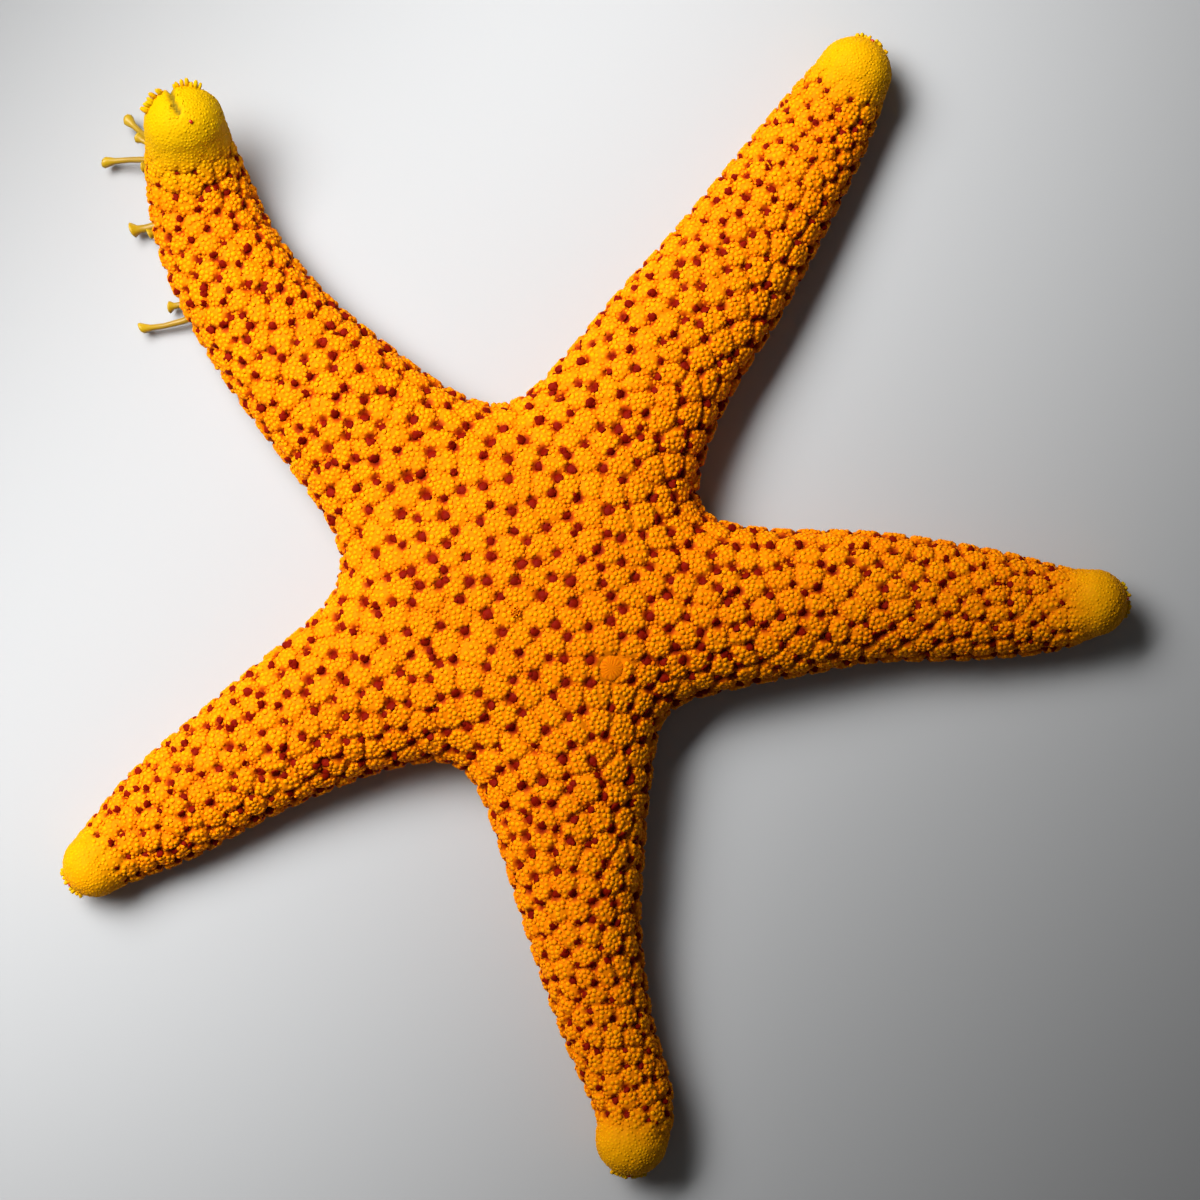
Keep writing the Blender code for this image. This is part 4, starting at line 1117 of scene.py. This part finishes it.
def spine_places(arm):
    """Roots, directions, lengths and radii of the spines beside one arm's groove."""
    spines = []
    for run in np.arange(SPINE_RUN[0], arm.reach - SPINE_RUN[1], SPINE_PITCH):
        share = run / arm.reach
        slim = 1 - SLIMMING * share
        edge = between(GROOVE_HALF, share)
        fade = float(groove_fade(arm, run))
        _, forward, left, up = arm_frame(arm, run)
        for side in (-1, 1):
            for ahead in (-0.27, 0.27):
                root = arm_point(arm, run + ahead * SPINE_PITCH, side * (edge + 0.42 * MM), 0)
                root += up * (TROUGH_DEPTH * fade + 0.25 * MM)
                lean = -up * 0.66 - left * (side * 0.72) + forward * (0.25 * ahead)
                spines.append((root, lean, INNER_SPINE[0] * slim, INNER_SPINE[1] * slim))
            root = arm_point(arm, run, side * (edge + MM * slim), 0)
            root += up * (0.85 * MM * fade + 0.1 * MM)
            lean = -up + left * (side * 0.12)
            spines.append((root, lean, OUTER_SPINE[0] * slim, OUTER_SPINE[1] * slim))
    return spines


def add_spines(looks, random):
    """Two furrow spines and one blunt outer spine for each plate along every groove."""
    pattern = pattern_of(turned("spine", SPINE_RINGS, 6))
    for name, arm in TRACED.items():
        spines = spine_places(arm)
        roots = np.array([tuple(root) for root, _, _, _ in spines])
        leans = np.array([tuple(lean) for _, lean, _, _ in spines])
        leans += random.normal(0, 0.05, leans.shape)
        leans /= np.linalg.norm(leans, axis=1)[:, None]
        length = np.array([size for _, _, size, _ in spines]) * random.uniform(0.9, 1.05, len(spines))
        radius = np.array([size for _, _, _, size in spines])
        floor = np.maximum(roots[:, 2] - FLOOR_CLEARANCE - radius * 0.5, 0.2 * MM)
        length = np.minimum(length, floor / np.maximum(-leans[:, 2], 0.05))
        sizes = np.stack([radius, radius, length], 1)
        piece = stand_copies(f"{name}_furrow_spines", pattern, roots, leans, sizes, random)
        dress(piece, looks.spines, "skin")


def foot_rings(length, slim):
    """Radius, height and sideways bend of a tube foot's rings, from its root down to its sucker."""
    return [(radius * slim, share * length, share**2 * length) for radius, share in FOOT_RINGS]


def tube_foot(start, axis, bend, rings):
    """Vertices, triangles and sucker shares of a closed foot whose rings step along its axis."""
    sides = FOOT_SIDES
    axis = axis.normalized()
    across = axis.orthogonal().normalized()
    beside = axis.cross(across)
    points, triangles = [], []
    for radius, run, shift in rings:
        middle = start + axis * run + bend * shift
        for k in range(sides):
            angle = 2 * math.pi * k / sides
            points.append(middle + across * (radius * math.cos(angle)) + beside * (radius * math.sin(angle)))
    for ring in range(len(rings) - 1):
        for k in range(sides):
            low, low_next = ring * sides + k, ring * sides + (k + 1) % sides
            triangles += [(low, low_next, low_next + sides), (low, low_next + sides, low + sides)]
    first, last = len(points), len(points) + 1
    points.append(start + axis * rings[0][1])
    points.append(start + axis * (rings[-1][1] - 0.12 * rings[-1][0]) + bend * rings[-1][2])
    top = (len(rings) - 1) * sides
    for k in range(sides):
        after = (k + 1) % sides
        triangles.append((first, after, k))
        triangles.append((last, top + k, top + after))
    shares = [float(np.clip((k - 2) / 2, 0, 1)) for k in range(len(rings)) for _ in range(sides)]
    return points, triangles, shares + [0.0, 1.0]


def join_feet(name, feet):
    """One mesh of all the feet, with each vertex's share of the way to its sucker."""
    points, triangles, sucker, roots, offsets = [], [], [], [], []
    for foot_points, foot_triangles, shares in feet:
        base = len(points)
        points += [tuple(point) for point in foot_points]
        triangles += [[base + k for k in triangle] for triangle in foot_triangles]
        sucker += shares
        roots += [tuple(foot_points[0])] * len(foot_points)
        offsets += [(math.cos(k), math.sin(k)) for k in range(len(foot_points))]
    mesh = bpy.data.meshes.new(name)
    mesh.from_pydata(points, [], triangles)
    mesh.update()
    mesh.shade_smooth()
    add_values(mesh, sucker=np.array(sucker))
    patch = unwrapped(np.array(roots)) + PATCH * np.array(offsets)
    return finish_piece(name, mesh, patch, np.array(triangles).ravel())


def groove_feet(arm, random):
    """Two rows of tube feet that hang from the groove's roof to just over the floor."""
    feet = []
    for side in (-1, 1):
        start = FOOT_RUN[0] + (side + 1) * 0.25 * FOOT_PITCH
        for run in np.arange(start, arm.reach - FOOT_RUN[1], FOOT_PITCH):
            share = run / arm.reach
            slim = (1 - SLIMMING * share) * MM
            roof = between(GROOVE_DEPTH, share)
            half = between(GROOVE_HALF, share)
            at, forward, left, up = arm_frame(arm, run)
            root = at + left * (side * 0.42 * half) + up * roof
            lean = forward * random.normal(0, 0.12) + left * (side * random.uniform(0.0, 0.16))
            length = (roof - FLOOR_CLEARANCE - 0.1 * MM) * random.uniform(0.86, 1.0)
            feet.append(tube_foot(root, -up, lean, foot_rings(length, slim)))
    return feet


def reaching_feet(skin):
    """The few long feet that show beyond the left edge of the upper left arm, rooted in its skin."""
    feet = []
    for root_x, root_y, end_x, end_y, rise, thick, swing in REACHING_FEET:
        near = Vector((DISC_CENTRE[0] + root_x * MM, DISC_CENTRE[1] + root_y * MM, 2.0 * MM))
        at, _, face, _ = skin.surface.find_nearest(near)
        root = at - normal_at(skin, face).normalized() * (0.5 * MM)
        end = Vector((DISC_CENTRE[0] + end_x * MM, DISC_CENTRE[1] + end_y * MM, rise * MM))
        length = (end - root).length
        bend = Vector((0.0, swing, 0.16))
        feet.append(tube_foot(root, end - root - bend * length, bend, foot_rings(length, thick * MM)))
    return feet


def add_feet(skin, looks, random):
    for name, arm in TRACED.items():
        feet = groove_feet(arm, random)
        if name == CURLED:
            feet += reaching_feet(skin)
        dress(join_feet(f"{name}_tube_feet", feet), looks.feet, "skin")


def jaw_angles():
    """Directions from the mouth to the five jaws, halfway between the arms."""
    ways = []
    for arm in TRACED.values():
        at, forward, _, _ = arm_frame(arm, ROOT_CUT)
        ways.append((math.atan2(forward.y, forward.x), at.xy, forward.xy))
    ways.sort(key=lambda way: way[0])
    angles = []
    for (_, at_a, dir_a), (_, at_b, dir_b) in zip(ways, ways[1:] + ways[:1]):
        corner = Matrix((dir_a, dir_b)).inverted() @ Vector((at_a.dot(dir_a), at_b.dot(dir_b)))
        angles.append(math.atan2(corner.y - DISC_CENTRE[1], corner.x - DISC_CENTRE[0]))
    return angles


def jaw_blank(name):
    """One bevelled wedge that lies along +X and points back at the middle of the mouth."""
    bpy.ops.mesh.primitive_circle_add(vertices=len(JAW_OUTLINE), radius=1.0, fill_type="NGON")
    jaw = bpy.context.object
    jaw.name = name
    outline = sorted(JAW_OUTLINE, key=lambda point: math.atan2(point[1], point[0] - JAW_MIDDLE))
    order = sorted(jaw.data.vertices, key=lambda v: math.atan2(v.co.y, v.co.x))
    for vertex, (along, across) in zip(order, outline):
        vertex.co = (along * MM, across * MM, JAW_LEVEL)
    only(jaw)
    bpy.ops.object.mode_set(mode="EDIT")
    bpy.ops.mesh.select_all(action="SELECT")
    bpy.ops.mesh.extrude_region_move(TRANSFORM_OT_translate={"value": (0, 0, JAW_HEIGHT)})
    bpy.ops.mesh.select_all(action="SELECT")
    bpy.ops.mesh.normals_make_consistent(inside=False)
    bpy.ops.mesh.bevel(offset=JAW_BEVEL, segments=3, affect="EDGES")
    bpy.ops.mesh.select_all(action="SELECT")
    bpy.ops.mesh.quads_convert_to_tris()
    bpy.ops.mesh.subdivide(number_cuts=2)
    bpy.ops.object.mode_set(mode="OBJECT")
    return jaw


def jaw_pegs():
    """Roots, leans and sizes in mm of a jaw's pegs: a comb along each edge and a few on its face."""
    pegs = []
    for side in (-1, 1):
        for k in range(6):
            root = (2.75 + 0.75 * k, side * (0.22 + 0.2 * k + 0.05 * k * k), 0.95)
            lean = (-0.55 + 0.04 * k, -side * (0.12 + 0.07 * k), -0.62)
            pegs.append((root, lean, (0.27, 0.27, 1.15 - 0.05 * k)))
    for k in range(5):
        root = (3.6 + 0.75 * k, 0.34 * (-1) ** k * (k > 0), 0.55)
        pegs.append((root, (0.1, 0.0, -1.0), (0.30, 0.30, 0.42)))
    return [np.array(part) for part in zip(*pegs)]


def add_jaws(looks, random):
    """Five wedge-shaped jaws round the mouth, each with a comb of blunt spines over the opening."""
    peg = pattern_of(turned("mouth_peg", PEG_RINGS, 7))
    roots, leans, sizes = jaw_pegs()
    for number, angle in enumerate(jaw_angles(), 1):
        jaw = jaw_blank(f"jaw_{number}")
        spin = Matrix.Translation((*DISC_CENTRE, 0)) @ Matrix.Rotation(angle, 4, "Z")
        jaw.data.transform(spin)
        jaw.data.update()
        jaw.data.shade_smooth()
        dress(jaw, looks.jaws, "mouth_plate", f"mouth_plate_{number}")
        turn = np.array(spin.to_3x3())
        places = roots * MM @ turn.T + np.array([*DISC_CENTRE, 0])
        comb = stand_copies(f"jaw_{number}_spines", peg, places, leans @ turn.T, sizes * MM, random)
        dress(comb, looks.spines, "mouth_plate")


def add_sieve_plate(skin, looks):
    """The sieve plate: a low smooth button with fine ridges that wander out from its middle."""
    bpy.ops.mesh.primitive_uv_sphere_add(segments=64, ring_count=24, radius=1.0)
    piece = bpy.context.object
    piece.name = "sieve_plate"
    at, _ = land_from_above(skin, SIEVE_AT)
    offsets = SIEVE_RADIUS * np.array([[1, 0], [-0.5, 0.87], [-0.5, -0.87]])
    rim = [land_from_above(skin, SIEVE_AT + offset)[0] for offset in offsets]
    out_way = (rim[1] - rim[0]).cross(rim[2] - rim[0]).normalized()
    turn = out_way.to_track_quat("Z", "Y").to_matrix()
    ridges = []
    for vertex in piece.data.vertices:
        x, y, z = vertex.co
        out = math.hypot(x, y)
        angle = math.atan2(y, x)
        wander = 0.9 * math.sin(3 * angle + 7 * out) + 0.5 * math.sin(5 * angle - 11 * out)
        ridge = math.cos(SIEVE_RIDGES * angle + 1.6 * wander) * smooth_step((out - 0.12) / 0.3)
        ridge *= float(smooth_step((1.02 - out) / 0.2)) * (z > 0)
        lobe = 1 + 0.04 * math.cos(8 * angle + 1) + 0.05 * math.cos(2 * angle)
        rise = SIEVE_FOOT + SIEVE_RISE * z + SIEVE_RIDGE * ridge
        vertex.co = at + turn @ Vector((SIEVE_RADIUS * lobe * x, SIEVE_RADIUS * lobe * y, rise))
        # The tone is lighter orange on the crests and darker red in the furrows: painted shade along the
        # ridges.
        ridges.append(0.5 + 0.5 * float(ridge))
    piece.data.update()
    piece.data.shade_smooth()
    add_values(piece.data, tone=np.array(ridges))
    dress(piece, looks.sieve, "sieve_plate", "madreporite")


def add_vent(skin, looks, random):
    """A tight ring of fine grains round the vent in the middle of the disc, dark between them."""
    bpy.ops.mesh.primitive_uv_sphere_add(segments=8, ring_count=5, radius=1.0)
    pattern = pattern_of(bpy.context.object)
    places, normals, sizes = [], [], []
    for ring, (count, radius) in enumerate(VENT_RINGS):
        for k in range(count):
            angle = 2 * math.pi * (k + 0.4 * ring) / count + random.uniform(-0.15, 0.15)
            offset = VENT_AT + radius * MM * np.array([math.cos(angle), math.sin(angle)])
            at, face = land_from_above(skin, offset)
            normals.append(normal_at(skin, face))
            places.append(at + normals[-1] * (0.16 * MM))
            size = (0.10 if ring else 0.08) * MM * random.uniform(0.9, 1.15)
            sizes.append((size, size, 2.4 * size))
    piece = stand_copies("vent_grains", pattern, places, normals, sizes, random)
    dress(piece, looks.vent, "skin")


def add_eyespots(skin, looks):
    """A small red eyespot at the end of every arm, on top of the curled one."""
    bpy.ops.mesh.primitive_uv_sphere_add(segments=12, ring_count=8, radius=1.0)
    pattern = pattern_of(bpy.context.object)
    places, normals = [], []
    for name, arm in TRACED.items():
        if name == CURLED:
            at, face = land_from_above(skin, CURLED_EYE)
        else:
            end = arm_point(arm, arm.reach, 0, 0.30 * float(arm_height(arm, arm.length)))
            at, _, face, _ = skin.surface.find_nearest(end)
        normal = normal_at(skin, face).normalized()
        places.append(tuple(at + normal * (0.06 * MM)))
        normals.append(tuple(normal))
    turns = turns_to(np.array(normals), np.random.default_rng(SEED))
    sizes = np.array([EYESPOT] * len(places))
    piece = copies("eyespots", pattern, np.array(places), turns, sizes, tone=np.ones(len(places)))
    dress(piece, looks.eyes, "arm_tip")


def curled_fringe(surface):
    """Roots, ways and sizes of the long spinelets that fan out beside the curled tip's groove."""
    middle = Vector((*(DISC_CENTRE + CURLED_EYE), CURLED_FRINGE_LEVEL))
    found = []
    for start, end in CURLED_FRINGE:
        for share in np.linspace(0, 1, 8):
            near = Vector((*(DISC_CENTRE + start + share * (end - start)), CURLED_FRINGE_LEVEL))
            at = surface.find_nearest(near)[0]
            way = (near - middle).normalized() + Vector((0, 0, 0.35))
            found.append((at, way, LONG_SPINELET))
    return found


def fringe_places(arm, surface):
    """Roots of the spinelets on both sides of the groove's end, from the lowest up."""
    height = float(arm_height(arm, arm.length))
    rows = [(side, k) for side in (-1, 1) for k in range(7)]
    ends = [(arm.reach - 0.07 * k * MM, side * (0.40 + 0.24 * k) * MM) for side, k in rows]
    return [surface.find_nearest(arm_point(arm, run, side, 0.22 * height)) for run, side in ends]


def add_fringe(skin, looks, random):
    """Short blunt spinelets at the end of every groove."""
    pattern = pattern_of(turned("spinelet", SPINELET_RINGS, 8))
    spinelets = curled_fringe(skin.surface)
    for name, arm in TRACED.items():
        if name != CURLED:
            for at, _, face, _ in fringe_places(arm, skin.surface):
                spinelets.append((at, normal_at(skin, face), SPINELET))
    ways = np.array([tuple(way.normalized()) for _, way, _ in spinelets])
    places = np.array([tuple(at) for at, _, _ in spinelets]) - 0.12 * MM * ways
    places += random.normal(0, 0.07 * MM, places.shape)
    ways += random.normal(0, 0.13, ways.shape)
    ways /= np.linalg.norm(ways, axis=1)[:, None]
    sizes = np.array([size for _, _, size in spinelets]) * random.uniform(0.8, 1.15, (len(places), 1)) * MM
    turns = turns_to(ways, random)
    tone = random.random(len(places))
    piece = copies("tip_spinelets", pattern, places, turns, sizes, tone=tone)
    dress(piece, looks.spinelets, "arm_tip")


def new_look(name, roughness, specular=0.15):
    look = bpy.data.materials.new(name)
    look.use_nodes = True
    shader = look.node_tree.nodes["Principled BSDF"]
    shader.inputs["Roughness"].default_value = roughness
    shader.inputs["Specular IOR Level"].default_value = specular
    return look, look.node_tree.nodes, look.node_tree.links, shader


def add_group_node(nodes, group):
    made = nodes.new("ShaderNodeGroup")
    made.node_tree = group
    return made


def mix_colours(nodes, links, factor, first, second):
    """A colour mix whose factor is a socket, and whose colours are sockets or fixed colours."""
    mix = nodes.new("ShaderNodeMix")
    mix.data_type = "RGBA"
    links.new(factor, mix.inputs["Factor"])
    sockets = [s for s in mix.inputs if s.type == "RGBA"]
    for socket, colour in zip(sockets, (first, second)):
        if isinstance(colour, tuple):
            socket.default_value = colour
        else:
            links.new(colour, socket)
    return [s for s in mix.outputs if s.type == "RGBA"][0]


def value_of(nodes, name):
    found = nodes.new("ShaderNodeAttribute")
    found.attribute_name = name
    return found.outputs["Fac"]


def worked_out(nodes, links, operation, *terms, clamp=False):
    """The result of a sum or product whose terms are sockets or fixed numbers."""
    made = nodes.new("ShaderNodeMath")
    made.operation = operation
    made.use_clamp = clamp
    for socket, term in zip(made.inputs, terms):
        if isinstance(term, float):
            socket.default_value = term
        else:
            links.new(term, socket)
    return made.outputs["Value"]


def texture_of(nodes, links, kind, scale):
    """A texture on the piece's own coordinates."""
    where = nodes.new("ShaderNodeTexCoord")
    made = nodes.new(kind)
    made.inputs["Scale"].default_value = scale
    links.new(where.outputs["Object"], made.inputs["Vector"])
    return made


def marking_group():
    """Colour of the star's hide: orange that varies in soft clouds and with Tone, which on the granules
    carries painted light on bead tops and plate crowns; red round pores, with painted shade in the seams;
    yellow tips, partly painted light; red pores; pale below.
    """
    group = bpy.data.node_groups.new("hide markings", "ShaderNodeTree")
    for name in ("Plain", "Light"):
        group.interface.new_socket(name, in_out="INPUT", socket_type="NodeSocketColor")
    for name in ("Tone", "Tip", "Rim", "Pore", "Below"):
        group.interface.new_socket(name, in_out="INPUT", socket_type="NodeSocketFloat")
    group.interface.new_socket("Color", in_out="OUTPUT", socket_type="NodeSocketColor")
    group.interface.new_socket("Height", in_out="OUTPUT", socket_type="NodeSocketFloat")
    nodes, links = group.nodes, group.links
    given = nodes.new("NodeGroupInput")
    put_out = nodes.new("NodeGroupOutput")
    clouds = texture_of(nodes, links, "ShaderNodeTexNoise", CLOUD_SCALE)
    clouds.inputs["Detail"].default_value = 3.0
    drift = nodes.new("ShaderNodeMapRange")
    drift.inputs["From Min"].default_value = 0.35
    drift.inputs["From Max"].default_value = 0.65
    drift.inputs["To Min"].default_value = -CLOUD_DRIFT
    drift.inputs["To Max"].default_value = CLOUD_DRIFT
    links.new(clouds.outputs["Fac"], drift.inputs["Value"])
    tone = worked_out(nodes, links, "ADD", given.outputs["Tone"], drift.outputs["Result"], clamp=True)
    below = worked_out(nodes, links, "MULTIPLY", given.outputs["Below"], PALE_BELOW)
    colour = mix_colours(nodes, links, tone, given.outputs["Plain"], given.outputs["Light"])
    # Red round the pores, and painted shade in the seams between the plates.
    colour = mix_colours(nodes, links, given.outputs["Rim"], colour, RED_ORANGE)
    colour = mix_colours(nodes, links, given.outputs["Tip"], colour, YELLOW)
    colour = mix_colours(nodes, links, below, colour, PALE_ORANGE)
    colour = mix_colours(nodes, links, given.outputs["Pore"], colour, DARK_RED)
    links.new(colour, put_out.inputs["Color"])
    grain = texture_of(nodes, links, "ShaderNodeTexNoise", HIDE_GRAIN)
    links.new(grain.outputs["Fac"], put_out.inputs["Height"])
    return group


def add_bump(nodes, links, shader, height, distance, strength=0.35, turned_over=False):
    bump = nodes.new("ShaderNodeBump")
    bump.invert = turned_over
    bump.inputs["Strength"].default_value = strength
    bump.inputs["Distance"].default_value = distance
    links.new(height, bump.inputs["Height"])
    links.new(bump.outputs["Normal"], shader.inputs["Normal"])


def hide_look(name, group, roughness, *stored):
    """A look of the star's hide whose markings follow the stored values."""
    look, nodes, links, shader = new_look(name, roughness, 0.02)
    marks = add_group_node(nodes, group)
    marks.inputs["Plain"].default_value = ORANGE
    marks.inputs["Light"].default_value = BRIGHT_ORANGE
    for attribute in stored:
        links.new(value_of(nodes, attribute), marks.inputs[attribute.capitalize()])
    links.new(marks.outputs["Color"], shader.inputs["Base Color"])
    add_bump(nodes, links, shader, marks.outputs["Height"], GRAIN_DEPTH)
    return look, nodes, links, shader, marks


def two_tone_look(name, value_name, first, second, roughness, specular=0.15):
    """A look that goes from one colour to the other with a stored value and a fine grain."""
    look, nodes, links, shader = new_look(name, roughness, specular)
    colour = mix_colours(nodes, links, value_of(nodes, value_name), first, second)
    links.new(colour, shader.inputs["Base Color"])
    grain = texture_of(nodes, links, "ShaderNodeTexNoise", SMALL_GRAIN)
    add_bump(nodes, links, shader, grain.outputs["Fac"], GRAIN_DEPTH)
    return look


def make_looks():
    group = marking_group()
    skin, nodes, links, shader, marks = hide_look("skin", group, 0.6, "tip", "rim", "pore", "below")
    colour = mix_colours(nodes, links, value_of(nodes, "furrow"), marks.outputs["Color"], PALE_ORANGE)
    colour = mix_colours(nodes, links, value_of(nodes, "line"), colour, OLIVE)
    colour = mix_colours(nodes, links, value_of(nodes, "mouth"), colour, MOUTH_BROWN)
    links.new(colour, shader.inputs["Base Color"])
    granules, nodes, links, _, marks = hide_look("granules", group, 0.65, "tip", "rim", "below")
    # The granules' tone: a random part, plus painted light that makes each bead's top lighter.
    own = worked_out(nodes, links, "MULTIPLY_ADD", value_of(nodes, "tone"), 0.9, -0.4)
    tone = worked_out(nodes, links, "MULTIPLY_ADD", value_of(nodes, "crest"), 0.7, own)
    links.new(tone, marks.inputs["Tone"])
    return SimpleNamespace(
        skin=skin,
        granules=granules,
        papulae=two_tone_look("papulae", "tone", DARK_RED, PORE_RED, 0.6, 0.03),
        spinelets=two_tone_look("tip spinelets", "tone", GOLD, YELLOW, 0.6, 0.05),
        spines=two_tone_look("spines", "tone", ORANGE, PALE_ORANGE, 0.5),
        feet=two_tone_look("tube feet", "sucker", FOOT_STALK, FOOT_YELLOW, 0.4, 0.3),
        jaws=pebbled_look("jaws", PALE_ORANGE, ORANGE),
        # The sieve plate: redder than the hide, and darker red in its furrows as painted shade.
        sieve=two_tone_look("sieve plate", "tone", SIEVE_RED, SIEVE_ORANGE, 0.65, 0.02),
        vent=two_tone_look("vent grains", "tone", ORANGE, BRIGHT_ORANGE, 0.6, 0.04),
        eyes=two_tone_look("eyespots", "tone", DARK_RED, EYE_RED, 0.3, 0.5),
    )


def pebbled_look(name, first, second):
    """A pebbled surface in two close colours."""
    look, nodes, links, shader = new_look(name, 0.5)
    pebbles = texture_of(nodes, links, "ShaderNodeTexVoronoi", PEBBLE_SCALE)
    colour = mix_colours(nodes, links, pebbles.outputs["Distance"], first, second)
    links.new(colour, shader.inputs["Base Color"])
    add_bump(nodes, links, shader, pebbles.outputs["Distance"], PEBBLE_DEPTH, 0.5, turned_over=True)
    return look


def add_floor():
    bpy.ops.mesh.primitive_plane_add(size=4.0, location=(0, 0, 0))
    floor = bpy.context.object
    floor.name = "floor"
    look, _, _, shader = new_look("pale floor", 0.8, 0.2)
    shader.inputs["Base Color"].default_value = FLOOR_GREY
    floor.data.materials.append(look)


def add_lights():
    """Rectangular soft lamps, each with its beam narrowed to an angle, and the dim surround."""
    for name, given in LAMPS.items():
        bpy.ops.object.light_add(type="AREA", location=given.at)
        lamp = bpy.context.object
        lamp.name = name
        lamp.data.shape = "RECTANGLE"
        lamp.data.size, lamp.data.size_y = given.size
        lamp.data.energy = given.power
        lamp.data.spread = math.radians(given.beam)
        lamp.rotation_euler = (Vector(given.aim) - Vector(given.at)).to_track_quat("-Z", "Y").to_euler()
    world = bpy.data.worlds.new("studio")
    world.use_nodes = True
    world.node_tree.nodes["Background"].inputs["Color"].default_value = (1.0, 1.0, 1.0, 1.0)
    world.node_tree.nodes["Background"].inputs["Strength"].default_value = SURROUND
    bpy.context.scene.world = world
    bpy.context.scene.view_settings.view_transform = "Standard"


def add_camera():
    """The camera straight over the star, with the photo's framing."""
    middle = DISC_CENTRE + FRAME_MIDDLE
    bpy.ops.object.camera_add(location=(*middle, CAMERA_LEVEL + CAMERA_RISE), rotation=(0, 0, 0))
    camera = bpy.context.object
    camera.data.sensor_width = SENSOR
    camera.data.lens = SENSOR * CAMERA_RISE / (PHOTO_PIXELS * PIXEL)
    camera.data.clip_start = 0.01
    camera.data.clip_end = 10.0
    bpy.context.scene.camera = camera


def dress_star():
    """Makes every piece of the star, in an order that the random draws depend on."""
    random = np.random.default_rng(SEED)
    looks = make_looks()
    skin = make_skin(random)
    flesh = ["disc"] + [f"{arm}_{part}" for arm in TRACED for part in ("inner", "outer", "tip")]
    dress(skin.piece, looks.skin, "skin", *flesh)
    print("skin", len(skin.triangles), "triangles", len(skin.pores), "pores")
    add_beads(skin, looks, random)
    add_pores(skin, looks, random)
    add_spines(looks, random)
    add_feet(skin, looks, random)
    add_jaws(looks, random)
    add_sieve_plate(skin, looks)
    add_vent(skin, looks, random)
    add_eyespots(skin, looks)
    add_fringe(skin, looks, random)


dress_star()
add_floor()
add_lights()
add_camera()
